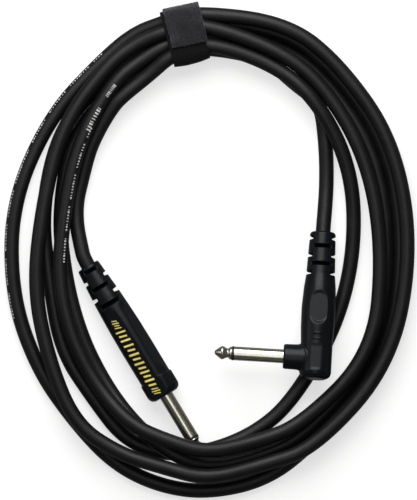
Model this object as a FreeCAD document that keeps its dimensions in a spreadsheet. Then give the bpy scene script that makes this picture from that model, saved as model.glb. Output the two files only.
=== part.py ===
import FreeCAD, Part
import math
import os
import re
import Sketcher
from FreeCAD import Placement, Rotation, Vector

# Instrument cable, coiled and held by a hook-and-loop tie. Millimetres; the coil lies
# flat on XY, +Z is up. Every size is a named value of the sheet below.

os.makedirs("parts", exist_ok=True)
doc = FreeCAD.newDocument("instrument_cable")
sheet = doc.addObject("Spreadsheet::Sheet", "Dimensions")

SIZES = (
    # Cable
    ("cable_diameter", "6.8"),
    ("cable_gap", "0.45"),
    ("cable_sides", "6"),
    ("cable_in_plug", "24"),
    ("table_flat", "0.68"),
    ("loop_count", "5"),
    # Flat facets that stand for a round outside and for a round hidden piece
    ("round_sides", "28"),
    ("inner_sides", "16"),
    # Hook-and-loop tie
    ("tie_width", "17"),
    ("tie_thickness", "1.0"),
    ("tie_clearance", "0.35"),
    ("tie_press", "0.1"),
    ("tie_tilt", "12"),
    ("tie_spread", "1.06"),
    ("flap_drop", "3.2"),
    ("flap_cover", "18.6"),
    # Pin of both plugs
    ("sleeve_radius", "3.175"),
    ("sleeve_length", "22.7"),
    ("sleeve_bore", "2.1"),
    ("shoulder_radius", "3.7"),
    ("flange_radius", "4.75"),
    ("flange_front", "5.5"),
    ("flange_thickness", "2.0"),
    ("ring_length", "1.0"),
    ("rod_radius", "1.3"),
    ("tip_length", "7.9"),
    ("tip_root_radius", "2.75"),
    ("tip_neck_radius", "2.3"),
    ("tip_neck_place", "1.7"),
    ("tip_bulge_place", "4.3"),
    ("tip_shoulder_place", "6.2"),
    ("tip_shoulder_radius", "2.45"),
    ("tip_point_radius", "0.9"),
    # Inner pieces of both plugs
    ("lug_thickness", "0.6"),
    ("tip_lug_radius", "2.8"),
    ("tab_width", "2.4"),
    ("strip_width", "3.0"),
    ("washer_thickness", "0.6"),
    ("conductor_radius", "0.5"),
    ("core_radius", "1.4"),
    ("shield_radius", "0.7"),
    ("solder_depth", "0.2"),
    ("mould_radius", "5.5"),
    ("mould_start", "21"),
    # Straight plug
    ("straight_length", "69.5"),
    ("straight_relief_length", "16.7"),
    ("straight_relief_radius", "5.35"),
    ("straight_neck_radius", "6.65"),
    ("straight_belly_place", "44"),
    ("straight_body_radius", "7.45"),
    ("straight_waist_radius", "7.4"),
    ("straight_collar_radius", "8.0"),
    ("straight_collar_length", "9.2"),
    ("straight_edge_length", "2.7"),
    ("straight_edge_drop", "0.9"),
    ("straight_face_length", "0.7"),
    ("straight_face_drop", "2.4"),
    ("straight_flat_place", "40.5"),
    ("straight_flat_length", "31"),
    ("straight_flat_width", "6.4"),
    ("straight_flat_level", "6.7"),
    ("straight_core_offset", "1.6"),
    ("straight_shield_offset", "2.95"),
    ("straight_core_back", "17"),
    ("straight_wire_back", "10.5"),
    ("straight_tab_back", "16"),
    ("straight_strip_back", "24"),
    ("straight_shield_back", "18"),
    # Notches of both strain reliefs
    ("notch_width", "1.7"),
    ("notch_floor", "4.3"),
    ("notch_first", "2.75"),
    ("notch_step", "4.1"),
    ("straight_notches", "4"),
    ("angle_notches", "5"),
    # Right-angle plug
    ("angle_length", "68"),
    ("angle_relief_length", "19.8"),
    ("angle_relief_radius", "5.9"),
    ("angle_neck_radius", "6.65"),
    ("angle_belly_place", "35"),
    ("angle_body_radius", "7.9"),
    ("angle_head_length", "17"),
    ("angle_head_radius", "7.35"),
    ("angle_edge_length", "2.6"),
    ("angle_edge_drop", "0.8"),
    ("angle_face_length", "0.8"),
    ("angle_face_drop", "2.6"),
    ("angle_pin_inset", "9.6"),
    ("angle_nose_reach", "15.0"),
    ("angle_nose_root_radius", "6.0"),
    ("angle_nose_face_radius", "5.7"),
    ("angle_pad_length", "14.5"),
    ("angle_pad_width", "7.5"),
    ("angle_pad_level", "6.95"),
    ("angle_end_wall", "5"),
    ("angle_mould_overlap", "3"),
    ("angle_core_offset", "1.1"),
    ("angle_core_back", "16"),
    ("angle_wire_back", "7"),
    ("angle_tab_back", "14"),
    ("angle_strip_back", "17"),
    ("angle_shield_offset", "2.9"),
    ("angle_shield_sink", "0.15"),
    ("angle_shield_back", "9"),
    ("angle_tab_bend", "3.6"),
    ("angle_strip_bend", "2.9"),
    ("angle_strip_side", "2.0"),
)
for row, (alias, text) in enumerate(SIZES, start=1):
    sheet.set("A%d" % row, alias)
    sheet.set("B%d" % row, text)
    sheet.setAlias("B%d" % row, alias)
doc.recompute()


def size(text):
    """The number that a sheet name, or an expression of sheet names, stands for."""
    return float(sheet.evalExpression(text))


def bind(item, prop, text):
    """Tie one property of an object to an expression of sheet names."""
    item.setExpression(prop, re.sub("[a-z][a-z_]+", lambda found: "Dimensions." + found.group(), text))


UP = Vector(0, 0, 1)
CABLE_RADIUS = size("cable_diameter / 2")
PITCH = size("cable_diameter + cable_gap")
TABLE_LEVEL = size("cable_diameter / 2 - table_flat")
# Room between a solid and what only has to clear it.
SLACK = 0.02

# One row per direction seen from the coil's centre: the angle in degrees, the centre
# radius of the outermost strand, and for each of the five loops its inset from that
# strand and its height over the table, both in cable pitches.
STATIONS = (
    (72, 108.5, ((2.68, 1.05), (0.38, 0.0), (0.00, 1.0), (1.62, 1.20), (1.42, 0.0))),
    (54, 103.1, ((2.80, 1.15), (0.32, 0.0), (0.00, 1.0), (1.72, 1.08), (1.38, 0.0))),
    (30, 96.2, ((3.15, 0.50), (0.35, 0.0), (0.00, 1.0), (1.95, 1.0), (1.40, 0.0))),
    (0, 91.4, ((3.48, 0.0), (0.35, 0.0), (0.00, 1.0), (1.74, 1.0), (1.36, 0.0))),
    (-32, 95.1, ((3.83, 0.0), (0.20, 0.0), (0.00, 1.0), (1.35, 1.02), (1.25, 0.0))),
    (-60, 100.4, ((3.15, 0.0), (0.10, 0.0), (0.00, 1.0), (1.68, 1.12), (1.24, 0.04))),
    (-76, 107.3, ((2.95, 0.0), (0.00, 0.0), (0.85, 1.1), (2.40, 1.42), (1.72, 0.25))),
    (-90, 110.3, ((2.56, 0.0), (0.00, 0.0), (1.10, 1.62), (2.70, 1.95), (1.70, 0.74))),
    (-102, 109.7, ((2.03, 0.0), (0.00, 0.0), (1.18, 1.55), (2.96, 1.98), (2.27, 1.08))),
    (-114, 106.1, ((1.72, 0.0), (0.00, 0.0), (0.72, 1.1), (2.73, 1.78), (2.86, 0.6))),
    (-128, 99.5, ((1.66, 0.0), (0.00, 0.0), (0.32, 1.0), (2.60, 1.08), (3.08, 0.0))),
    (-146, 94.5, ((1.90, 0.0), (0.00, 0.0), (0.93, 1.0), (2.79, 1.0), (3.36, 0.0))),
    (-168, 91.3, ((2.32, 0.0), (0.00, 0.0), (1.47, 1.0), (3.02, 1.02), (3.40, 0.0))),
    (-194, 91.1, ((1.82, 0.0), (0.00, 0.0), (1.68, 1.02), (3.05, 1.05), (2.90, 0.0))),
    (-220, 94.1, ((1.07, 0.0), (0.00, 0.0), (0.75, 1.0), (2.10, 1.07), (2.12, 0.0))),
    (-240, 99.7, ((1.08, 0.0), (0.00, 0.0), (0.42, 0.98), (1.46, 1.00), (2.12, 0.0))),
)
# In the tie the six strands form two triples that roll against each other: the share of
# the roll just before the tie, at its left edge and at its right edge.
ROLL_BEFORE, ROLL_LEFT, ROLL_RIGHT = 0.08, 0.30, 0.72
ROLL_ANGLE = 60.0
TRIPLE_RADIUS = 1 / math.sqrt(3)
TRIPLE_DISTANCE = 1.5
TRIPLE_SPREAD = 0.28
BUNDLE_MIDDLE = 1.25
BUNDLE_PITCH = PITCH * size("tie_spread")
# The lowest strands of the rolling triples dip this far under the bundle's level.
BUNDLE_DIP = 0.07 * BUNDLE_PITCH
PASS_PLACES = (("inner", 150), ("outer", 210), ("outer", 330), ("outer", 90), ("inner", 30), ("inner", 270))
TIE_CENTRE = Vector(-10.35, 98.26, 0)
TIE_LOW = size("tie_thickness + tie_clearance - tie_press") + CABLE_RADIUS + BUNDLE_DIP
BEFORE_TIE_ANGLE, BEFORE_TIE_RADIUS, BEFORE_TIE_LIFT = -251, 104.6, 0.3
TILT = math.radians(size("tie_tilt"))
TIE_RUN = Vector(math.cos(TILT), math.sin(TILT), 0)
TIE_SIDE = Vector(-math.sin(TILT), math.cos(TILT), 0)


def polar(angle, radius, height):
    """A point by its direction from the coil's centre, its radius and its height."""
    turn = math.radians(angle)
    return Vector(radius * math.cos(turn), radius * math.sin(turn), height)


def bundle_place(strand, roll):
    """Offset of one strand in the tie, outwards and upwards, in bundle pitches."""
    side, start = PASS_PLACES[strand]
    half = (TRIPLE_DISTANCE + TRIPLE_SPREAD * math.sin(math.pi * roll)) / 2
    rise = TRIPLE_RADIUS / 2 * roll
    if side == "inner":
        angle = math.radians(start - ROLL_ANGLE * roll)
        middle = Vector(BUNDLE_MIDDLE - half, TRIPLE_RADIUS - rise, 0)
    else:
        angle = math.radians(start + ROLL_ANGLE * roll)
        middle = Vector(BUNDLE_MIDDLE + half, TRIPLE_RADIUS / 2 + rise, 0)
    return middle + Vector(math.cos(angle), math.sin(angle), 0) * TRIPLE_RADIUS


def tie_nodes(strand):
    """Three points of one strand: before the tie, at its left and at its right edge."""
    place = bundle_place(strand, ROLL_BEFORE)
    inset = (2 * BUNDLE_MIDDLE - place.x) * BUNDLE_PITCH
    lift = TABLE_LEVEL + BEFORE_TIE_LIFT * (TIE_LOW - TABLE_LEVEL) + place.y * BUNDLE_PITCH
    nodes = [polar(BEFORE_TIE_ANGLE, BEFORE_TIE_RADIUS - inset, lift)]
    for roll, along in ((ROLL_LEFT, -0.5), (ROLL_RIGHT, 0.5)):
        place = bundle_place(strand, roll)
        side = TIE_SIDE * ((place.x - BUNDLE_MIDDLE) * BUNDLE_PITCH)
        rise = Vector(0, 0, TIE_LOW + place.y * BUNDLE_PITCH)
        nodes.append(TIE_CENTRE + TIE_RUN * (along * size("tie_width")) + side + rise)
    return nodes


def frame_of(origin, axis, up):
    """Placement with local Z along the axis and local Y as near to up as it can be."""
    local_x = up.cross(axis)
    local_x.normalize()
    local_y = axis.cross(local_x)
    return Placement(origin, Rotation(local_x, local_y, axis, "ZXY"))


def leaning(direction, lean):
    """A unit vector over a flat direction, leaning up by an angle in radians."""
    flat = Vector(direction[0], direction[1], 0)
    flat.normalize()
    return flat * math.cos(lean) + Vector(0, 0, math.sin(lean))


# The straight plug rests on the neck behind its strain relief and on its collar.
STRAIGHT_LEAN = math.atan(size("(straight_collar_radius - straight_neck_radius)"
                               " / (straight_length - straight_collar_length - straight_relief_length)"))
STRAIGHT_HEIGHT = (size("straight_neck_radius") * math.cos(STRAIGHT_LEAN)
                   - size("straight_relief_length") * math.sin(STRAIGHT_LEAN) + SLACK)
straight_axis = leaning((0.518, -0.855), STRAIGHT_LEAN)
straight_start = Vector(-55.5, -7.0, STRAIGHT_HEIGHT)
straight_frame = frame_of(straight_start, straight_axis, UP)
# The right-angle plug stands on its cable end and lies over the innermost loop.
ANGLE_LEAN = math.radians(9.0)
angle_axis = leaning((-0.059, -0.998), ANGLE_LEAN)
angle_start = Vector(52.7, 8.3, size("angle_relief_radius") + SLACK)
angle_frame = frame_of(angle_start, angle_axis, UP)

# The stretches from the straight plug to the bundle and from the bundle to the other plug.
STRAIGHT_TAIL = (
    Vector(-58.8, 2.2, 5.3),
    polar(166, 61.9, 4.0),
    polar(150, 67.5, 3.8),
    polar(138, 72.2, 7.3),
    polar(120, 81.3, 9.7),
)
ANGLE_TAIL = (
    polar(74, 90.5, TABLE_LEVEL),
    polar(62, 86.6, TABLE_LEVEL),
    Vector(50.6, 67.2, TABLE_LEVEL),
    Vector(53.8, 49.7, TABLE_LEVEL),
    Vector(54.3, 32.2, TABLE_LEVEL),
    Vector(53.5, 18.0, 4.3),
)


def coil_nodes():
    """Points of the whole cable as (point, heading or None), from plug to plug."""
    inside = size("cable_in_plug")
    nodes = [(straight_start + straight_axis * inside, straight_axis * -1)]
    nodes.append((straight_start, straight_axis * -1))
    nodes += [(point, None) for point in STRAIGHT_TAIL]
    nodes += [(point, None) for point in tie_nodes(0)]
    for loop in range(int(size("loop_count"))):
        for angle, radius, places in STATIONS:
            inset, level = places[loop]
            nodes.append((polar(angle, radius - inset * PITCH, TABLE_LEVEL + level * PITCH), None))
        nodes += [(point, None) for point in tie_nodes(loop + 1)]
    nodes += [(point, None) for point in ANGLE_TAIL]
    nodes.append((angle_start, angle_axis))
    nodes.append((angle_start + angle_axis * inside, angle_axis))
    return nodes


# Directions this close, by the sine between them, count as one line.
STRAIGHT_ENOUGH = 1e-6
ARC_STEPS = 8


def headings(nodes):
    """Heading at each node: given, or that of the circle through its two neighbours."""
    found = []
    for index, (point, heading) in enumerate(nodes):
        if heading is None:
            back = point - nodes[index - 1][0]
            ahead = nodes[index + 1][0] - point
            heading = back / back.Length ** 2 + ahead / ahead.Length ** 2
        found.append(Vector(heading).normalize())
    return found


def arc_edge(start, heading, end):
    """The arc that leaves the start along the heading; gives edge, radius and points."""
    chord = end - start
    along = chord / chord.Length
    if heading.cross(along).Length < STRAIGHT_ENOUGH:
        steps = [start + chord * (step / ARC_STEPS) for step in range(ARC_STEPS + 1)]
        return Part.makeLine(start, end), math.inf, steps
    half = heading.getAngle(along)
    radius = chord.Length / 2 / math.sin(half)
    normal = heading.cross(along).cross(heading).normalize()
    centre = start + normal * radius
    steps = []
    for step in range(ARC_STEPS + 1):
        turn = 2 * half * step / ARC_STEPS
        steps.append(centre - normal * (radius * math.cos(turn)) + heading * (radius * math.sin(turn)))
    return Part.Arc(start, steps[ARC_STEPS // 2], end).toShape(), radius, steps


def biarc(first, leave, second, arrive):
    """Start, heading and end of the two arcs with a common tangent between two nodes."""
    chord = second - first
    if leave.cross(chord).Length < STRAIGHT_ENOUGH and arrive.cross(chord).Length < STRAIGHT_ENOUGH:
        return [(first, leave, second)]
    spread = 2 * (1 - leave.dot(arrive))
    reach = chord.dot(leave + arrive)
    if spread < STRAIGHT_ENOUGH ** 2:
        arm = chord.dot(chord) / (2 * reach)
    else:
        arm = (math.sqrt(reach * reach + spread * chord.dot(chord)) - reach) / spread
    joint = (first + second) / 2 + (leave - arrive) * (arm / 2)
    along = (joint - first).normalize()
    return [(first, leave, joint), (joint, along * (2 * leave.dot(along)) - leave, second)]


def biarc_route(nodes):
    """Edges, radii and points of the route through all nodes."""
    edges, radii, points = [], [], []
    ways = headings(nodes)
    for index in range(len(nodes) - 1):
        for start, way, end in biarc(nodes[index][0], ways[index], nodes[index + 1][0], ways[index + 1]):
            edge, radius, steps = arc_edge(start, way, end)
            edges.append(edge)
            radii.append(radius)
            points += steps[:-1]
    points.append(nodes[-1][0])
    return edges, radii, points


def least_gap(points, spacing=2.0, skipped=30.0):
    """Least distance of the route to itself, less the cable's diameter, its place and the length."""
    walked = [0.0]
    for first, second in zip(points, points[1:]):
        walked.append(walked[-1] + (second - first).Length)
    samples, at, wanted = [], 0, 0.0
    while wanted < walked[-1]:
        while walked[at + 1] < wanted:
            at += 1
        share = (wanted - walked[at]) / (walked[at + 1] - walked[at])
        samples.append((wanted, points[at] + (points[at + 1] - points[at]) * share))
        wanted += spacing
    cells = {}
    reach = 2 * PITCH
    for place, point in samples:
        key = tuple(int(math.floor(number / reach)) for number in point)
        cells.setdefault(key, []).append((place, point))
    least = (math.inf, None)
    for (cx, cy, cz), own in cells.items():
        near = [item for dx in (-1, 0, 1) for dy in (-1, 0, 1) for dz in (-1, 0, 1)
                for item in cells.get((cx + dx, cy + dy, cz + dz), ())]
        for place, point in own:
            for other_place, other in near:
                if other_place - place > skipped:
                    distance = (other - point).Length
                    if distance < least[0]:
                        least = (distance, point)
    return least[0] - size("cable_diameter"), least[1], walked[-1]


nodes = coil_nodes()
route_edges, route_radii, route_points = biarc_route(nodes)
gap, gap_place, cable_length = least_gap(route_points)
print("cable length %.1f, least gap %.2f at %s" % (cable_length, gap, gap_place))
print("arcs %d, bend radii from %.1f" % (len(route_edges), min(route_radii)))


def finished(label, shape, placement=None):
    """A sub-part whose shape is made from the sheet's values."""
    item = doc.addObject("Part::Feature", label)
    item.Shape = shape
    if placement:
        item.Placement = placement
    item.Label = label
    return item


def cable_tube():
    """One faceted tube on the whole route."""
    sides = int(size("cable_sides"))
    start, way = nodes[0]
    across = way.cross(UP).normalize()
    over = across.cross(way).normalize()
    corners = []
    for corner in range(sides + 1):
        turn = 2 * math.pi * (corner % sides + 0.5) / sides
        corners.append(start + (across * math.cos(turn) + over * math.sin(turn)) * CABLE_RADIUS)
    tube = Part.Wire(route_edges).makePipeShell([Part.makePolygon(corners)], True, False)
    section = sides / 2 * CABLE_RADIUS ** 2 * math.sin(2 * math.pi / sides)
    print("tube volume %.0f, section times length %.0f" % (tube.Volume, section * cable_length))
    return tube


# The cable is cut flat where it rests on the table.
TABLE_SPAN = 400
table = Part.makeBox(TABLE_SPAN, TABLE_SPAN, TABLE_SPAN, Vector(-TABLE_SPAN / 2, -TABLE_SPAN / 2, -TABLE_SPAN))
finished("cable_jacket", cable_tube().cut(table).Solids[0])


def strands_in_tie():
    """Places of the strands' centres in the tie, seen along it: outwards and up."""
    places = []
    for point in route_points:
        offset = point - TIE_CENTRE
        if abs(offset.dot(TIE_RUN)) <= size("tie_width / 2") + CABLE_RADIUS / 4 and offset.Length < 4 * PITCH:
            places.append((offset.dot(TIE_SIDE), point.z))
    return sorted(places)


def hull(places, least=0.02):
    """Convex outline, anticlockwise, without corners that turn it by less than the least area."""
    outline = []
    for ordered in (places, places[::-1]):
        chain = []
        for place in ordered:
            while len(chain) > 1 and ((chain[-1][0] - chain[-2][0]) * (place[1] - chain[-2][1])
                                      - (chain[-1][1] - chain[-2][1]) * (place[0] - chain[-2][0])) < least:
                chain.pop()
            chain.append(place)
        outline += chain[:-1]
    return [Vector(x, y, 0) for x, y in outline]


# The tie: a band round the bundle and a closing flap over the top of it.
bundle = hull(strands_in_tie())
bundle_face = Part.Face(Part.makePolygon(bundle + bundle[:1]))
inner_face = bundle_face.makeOffset2D(CABLE_RADIUS + size("tie_clearance"))
band_face = bundle_face.makeOffset2D(CABLE_RADIUS + size("tie_clearance + tie_thickness"))
flap_face = bundle_face.makeOffset2D(CABLE_RADIUS + size("tie_clearance + 2 * tie_thickness"))
print("tie corners %d, underside %.2f, top %.2f, width %.1f" % (
    len(bundle), band_face.BoundBox.YMin, band_face.BoundBox.YMax, band_face.BoundBox.XLength))
tie_frame = Placement(TIE_CENTRE - TIE_RUN * size("tie_width / 2"), Rotation(TIE_SIDE, UP, TIE_RUN, "ZXY"))
tie_way = Vector(0, 0, size("tie_width"))
under_table = Part.makeBox(TABLE_SPAN, TABLE_SPAN, TABLE_SPAN, Vector(-TABLE_SPAN / 2, -TABLE_SPAN, -TABLE_SPAN / 2))
finished("tie_band", band_face.cut(inner_face).extrude(tie_way).cut(under_table).Solids[0], tie_frame)
top = flap_face.BoundBox
cover = Part.makeBox(TABLE_SPAN, TABLE_SPAN, TABLE_SPAN,
                     Vector(top.XMax - size("flap_cover"), top.YMax - size("flap_drop"), -TABLE_SPAN / 2))
finished("tie_flap", flap_face.cut(band_face).extrude(tie_way).common(cover).Solids[0], tie_frame)


def moved(frame, x, y, z, turn=0.0):
    """A frame shifted in its own axes, then turned about its own Z by some degrees."""
    return frame.multiply(Placement(Vector(x, y, z), Rotation(UP, turn)))


def revolved(name, frame, outline):
    """A body whose half section, drawn as (radius, height), is turned about its own Z."""
    body = doc.addObject("PartDesign::Body", name)
    sketch = body.newObject("Sketcher::SketchObject", name + "Section")
    plane = [item for item in body.Origin.OriginFeatures if item.Role == "XZ_Plane"][0]
    sketch.AttachmentSupport = [(plane, "")]
    sketch.MapMode = "FlatFace"
    corners = [Vector(size(radius), size(height), 0) for radius, height in outline]
    for corner, following in zip(corners, corners[1:] + corners[:1]):
        sketch.addGeometry(Part.LineSegment(corner, following))
    for index in range(len(corners)):
        sketch.addConstraint(Sketcher.Constraint("Coincident", index, 2, (index + 1) % len(corners), 1))
    for index, (radius, height) in enumerate(outline):
        for kind, text in (("DistanceX", radius), ("DistanceY", height)):
            number = sketch.addConstraint(Sketcher.Constraint(kind, -1, 1, index, 1, size(text)))
            if text != "0":
                bind(sketch, "Constraints[%d]" % number, text)
    turn = body.newObject("PartDesign::Revolution", name + "Turn")
    turn.Profile = sketch
    turn.ReferenceAxis = (sketch, ["V_Axis"])
    turn.Angle = 360
    body.Placement = frame
    return body


def cylinder(name, frame, radius, height):
    """A round bar along a frame's Z."""
    item = doc.addObject("Part::Cylinder", name)
    bind(item, "Radius", radius)
    bind(item, "Height", height)
    item.Placement = frame
    return item


def prism(name, frame, sides, radius, height):
    """A bar with flat facets along a frame's Z; its corners lie at the radius."""
    item = doc.addObject("Part::Prism", name)
    item.Polygon = int(size(sides))
    bind(item, "Circumradius", radius)
    bind(item, "Height", height)
    item.Placement = frame
    return item


def turned(name, frame, outline):
    """A bar with flat facets whose radius changes along a frame's Z, from (radius, height) pairs."""
    sides = int(size("round_sides"))
    rings = []
    for radius, height in outline:
        reach, level = size(radius), size(height)
        turns = [2 * math.pi * corner / sides for corner in range(sides)]
        rings.append([Vector(reach * math.cos(turn), reach * math.sin(turn), level) for turn in turns])
    outlines = [rings[0], rings[-1]]
    for low, high in zip(rings, rings[1:]):
        for corner in range(sides):
            after = (corner + 1) % sides
            outlines.append([low[corner], low[after], high[after], high[corner]])
    faces = [Part.Face(Part.makePolygon(corners + corners[:1])) for corners in outlines]
    solid = Part.Solid(Part.Shell(faces))
    if solid.Volume < 0:
        solid.reverse()
    return finished(name, solid, frame)


def block(name, frame, low, high):
    """A box between two corners of a frame, each given as three expressions."""
    item = doc.addObject("Part::Box", name)
    for prop, start, end in zip(("Length", "Width", "Height"), low, high):
        bind(item, prop, "(%s) - (%s)" % (end, start))
    item.Placement = moved(frame, *[size(text) for text in low])
    return item


def fused(name, items):
    """One solid made of several."""
    item = doc.addObject("Part::MultiFuse", name)
    item.Shapes = items
    return item


def without(name, base, tools):
    """The base less one or several tools."""
    item = doc.addObject("Part::Cut", name)
    item.Base = base
    item.Tool = tools[0] if len(tools) == 1 else fused(name + "Tools", tools)
    return item


# Distances along a pin from the plug's face, back into the plug and forward to the tip.
FLANGE_BACK = "flange_front + flange_thickness"
LUG_BACK = FLANGE_BACK + " + lug_thickness"
WASHER_BACK = LUG_BACK + " + washer_thickness"
ROD_BACK = WASHER_BACK + " + lug_thickness"
TIP_START = "sleeve_length + ring_length"
# The right-angle plug's pin leaves its body this far from the cable end.
PIN_PLACE = "(angle_length - angle_pin_inset)"
# Facets of the stripped core and of the bare wires.
CORE_SIDES, WIRE_SIDES = "8", "6"
# A length for cuts that is more than any plug's radius.
CLEAR_OF_PLUG = "20"


def back_of(frame, text):
    """A pin's frame moved back into the plug."""
    return moved(frame, 0, 0, -size(text))


def pin_pieces(plug, frame):
    """Sleeve, tip with its rod and insulator of a pin; local Z runs to the tip, zero at the face."""
    barrel = revolved(plug + "SleeveBarrel", back_of(frame, FLANGE_BACK), (
        ("0", "0"), ("flange_radius", "0"), ("flange_radius", "flange_thickness"),
        ("shoulder_radius", "flange_thickness"), ("shoulder_radius", FLANGE_BACK),
        ("sleeve_radius", FLANGE_BACK), ("sleeve_radius", FLANGE_BACK + " + sleeve_length"),
        ("0", FLANGE_BACK + " + sleeve_length")))
    bore = prism(plug + "SleeveBore", back_of(frame, FLANGE_BACK), "inner_sides", "sleeve_bore",
                 FLANGE_BACK + " + sleeve_length")
    sleeve = without(plug + "_sleeve", barrel, [bore])
    rod = prism(plug + "Rod", back_of(frame, ROD_BACK), "inner_sides", "rod_radius", ROD_BACK + " + " + TIP_START)
    head = turned(plug + "TipHead", moved(frame, 0, 0, size(TIP_START)), (
        ("tip_root_radius", "0"), ("tip_neck_radius", "tip_neck_place"), ("sleeve_radius", "tip_bulge_place"),
        ("tip_shoulder_radius", "tip_shoulder_place"), ("tip_point_radius", "tip_length")))
    tip = fused(plug + "_tip", [rod, head])
    tube = prism(plug + "RodTube", back_of(frame, LUG_BACK), "inner_sides", "sleeve_bore", LUG_BACK + " + sleeve_length")
    ring = prism(plug + "FrontRing", moved(frame, 0, 0, size("sleeve_length")), "round_sides", "sleeve_radius",
                 "ring_length")
    insulator = without(plug + "_insulator", fused(plug + "InsulatorForm", [tube, ring]), [rod])
    return sleeve, tip, insulator


def flat_ring(name, frame, bore, radius, thickness):
    """A flat ring round a pin."""
    return without(name, prism(name + "Plate", frame, "inner_sides", radius, thickness),
                   [prism(name + "Bore", frame, "inner_sides", bore, thickness)])


def relief_notches(plug, frame, count):
    """Pairs of notches across a strain relief, every second pair turned by a quarter."""
    notches = []
    for index in range(int(count)):
        place = size("notch_first - notch_width / 2") + index * size("notch_step")
        for side in (0, 180):
            across = moved(frame, 0, 0, place, side + 90 * (index % 2))
            notches.append(block("%sNotch%d_%d" % (plug, index, side), across,
                                 ("notch_floor", "-" + CLEAR_OF_PLUG, "0"),
                                 (CLEAR_OF_PLUG, CLEAR_OF_PLUG, "notch_width")))
    return notches


def thumb_flat(name, frame, length, width, level):
    """The space over a flat with round ends, above a level over the plug's axis."""
    outwards = frame.multiply(Placement(Vector(0, size(level), 0), Rotation(Vector(1, 0, 0), -90)))
    half = "(%s - %s) / 2" % (length, width)
    bar = block(name + "Bar", outwards, ("-%s / 2" % width, "-(%s)" % half, "0"), ("%s / 2" % width, half, CLEAR_OF_PLUG))
    ends = [cylinder("%sEnd%d" % (name, end), moved(outwards, 0, end * size(half), 0), width + " / 2", CLEAR_OF_PLUG)
            for end in (-1, 1)]
    return fused(name, [bar] + ends)


def plug_spaces(plug, frame, pin):
    """What every plug's outer body leaves free: cable, sleeve and the flange with what lies behind it."""
    cable = cylinder(plug + "CableHole", frame, "cable_diameter / 2", "cable_in_plug")
    shoulder = cylinder(plug + "ShoulderHole", back_of(pin, FLANGE_BACK), "shoulder_radius", FLANGE_BACK)
    flange = cylinder(plug + "FlangeHole", back_of(pin, WASHER_BACK), "flange_radius",
                      "flange_thickness + lug_thickness + washer_thickness")
    return [cable, shoulder, flange]


def straight_plug():
    """The straight plug's eleven pieces; local Z runs from the cable end to the face."""
    frame = straight_frame
    pin = moved(frame, 0, 0, size("straight_length"))
    inner = moved(frame, 0, 0, size("cable_in_plug"))
    sleeve, tip, insulator = pin_pieces("straight", pin)
    core_end = "straight_length - straight_core_back"
    wire_end = "straight_length - straight_wire_back"
    core = prism("straight_core", moved(inner, 0, size("straight_core_offset"), 0), CORE_SIDES, "core_radius",
                 core_end + " - cable_in_plug")
    wire = prism("straight_conductor", moved(frame, 0, size("straight_core_offset"), size(core_end)), WIRE_SIDES,
                 "conductor_radius", "(%s) - (%s)" % (wire_end, core_end))
    shield = prism("straight_shield", moved(inner, 0, -size("straight_shield_offset"), 0), WIRE_SIDES,
                   "shield_radius", "straight_length - straight_shield_back - cable_in_plug")
    tab_level = "straight_core_offset + conductor_radius - solder_depth"
    tab = block("StraightTab", pin, ("-tab_width / 2", tab_level, "-straight_tab_back"),
                ("tab_width / 2", tab_level + " + lug_thickness", "-(%s)" % WASHER_BACK))
    tip_ring = flat_ring("StraightTipRing", back_of(pin, ROD_BACK), "rod_radius", "tip_lug_radius", "lug_thickness")
    tip_lug = without("straight_tip_lug", fused("StraightTipLugForm", [tip_ring, tab]), [wire])
    strip_level = "straight_shield_offset + shield_radius - solder_depth"
    strip = block("StraightStrip", pin,
                  ("-strip_width / 2", "-(%s + lug_thickness)" % strip_level, "-straight_strip_back"),
                  ("strip_width / 2", "-(%s)" % strip_level, "-(%s)" % FLANGE_BACK))
    sleeve_ring = flat_ring("StraightSleeveRing", back_of(pin, LUG_BACK), "sleeve_bore", "flange_radius",
                            "lug_thickness")
    sleeve_lug = without("straight_sleeve_lug", fused("StraightSleeveLugForm", [sleeve_ring, strip]), [shield])
    washer = without("straight_washer", flat_ring("StraightWasherRing", back_of(pin, WASHER_BACK), "rod_radius",
                                                  "flange_radius", "washer_thickness"), [sleeve_lug])
    mould_length = "straight_length - mould_start - (%s)" % WASHER_BACK
    mould_frame = moved(frame, 0, 0, size("mould_start"))
    bar = prism("StraightMouldBar", mould_frame, "round_sides", "mould_radius", mould_length)
    cable = cylinder("StraightCableSeat", frame, "cable_diameter / 2", "cable_in_plug")
    mould = without("straight_inner_mould", bar, [cable, core, wire, shield, tip_lug, sleeve_lug, tip])
    outer = turned("StraightOuter", frame, (
        ("straight_relief_radius", "0"), ("straight_neck_radius", "straight_relief_length"),
        ("straight_body_radius", "straight_belly_place"),
        ("straight_waist_radius", "straight_length - straight_collar_length"),
        ("straight_collar_radius", "straight_length - straight_collar_length"),
        ("straight_collar_radius", "straight_length - straight_edge_length"),
        ("straight_collar_radius - straight_edge_drop", "straight_length - straight_face_length"),
        ("straight_collar_radius - straight_face_drop", "straight_length")))
    flats = []
    for name, angle in (("StraightTopFlat", 12), ("StraightSideFlat", -78)):
        flats.append(thumb_flat(name, moved(frame, 0, 0, size("straight_flat_place"), angle),
                                "straight_flat_length", "straight_flat_width", "straight_flat_level"))
    mould_space = prism("StraightMouldSpace", mould_frame, "round_sides", "mould_radius", mould_length)
    body = without("straight_body", outer, plug_spaces("Straight", frame, pin) + [mould_space] + flats
                   + relief_notches("Straight", frame, size("straight_notches")))
    return [body, mould, sleeve, tip, insulator, washer, tip_lug, sleeve_lug, core, wire, shield]


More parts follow.
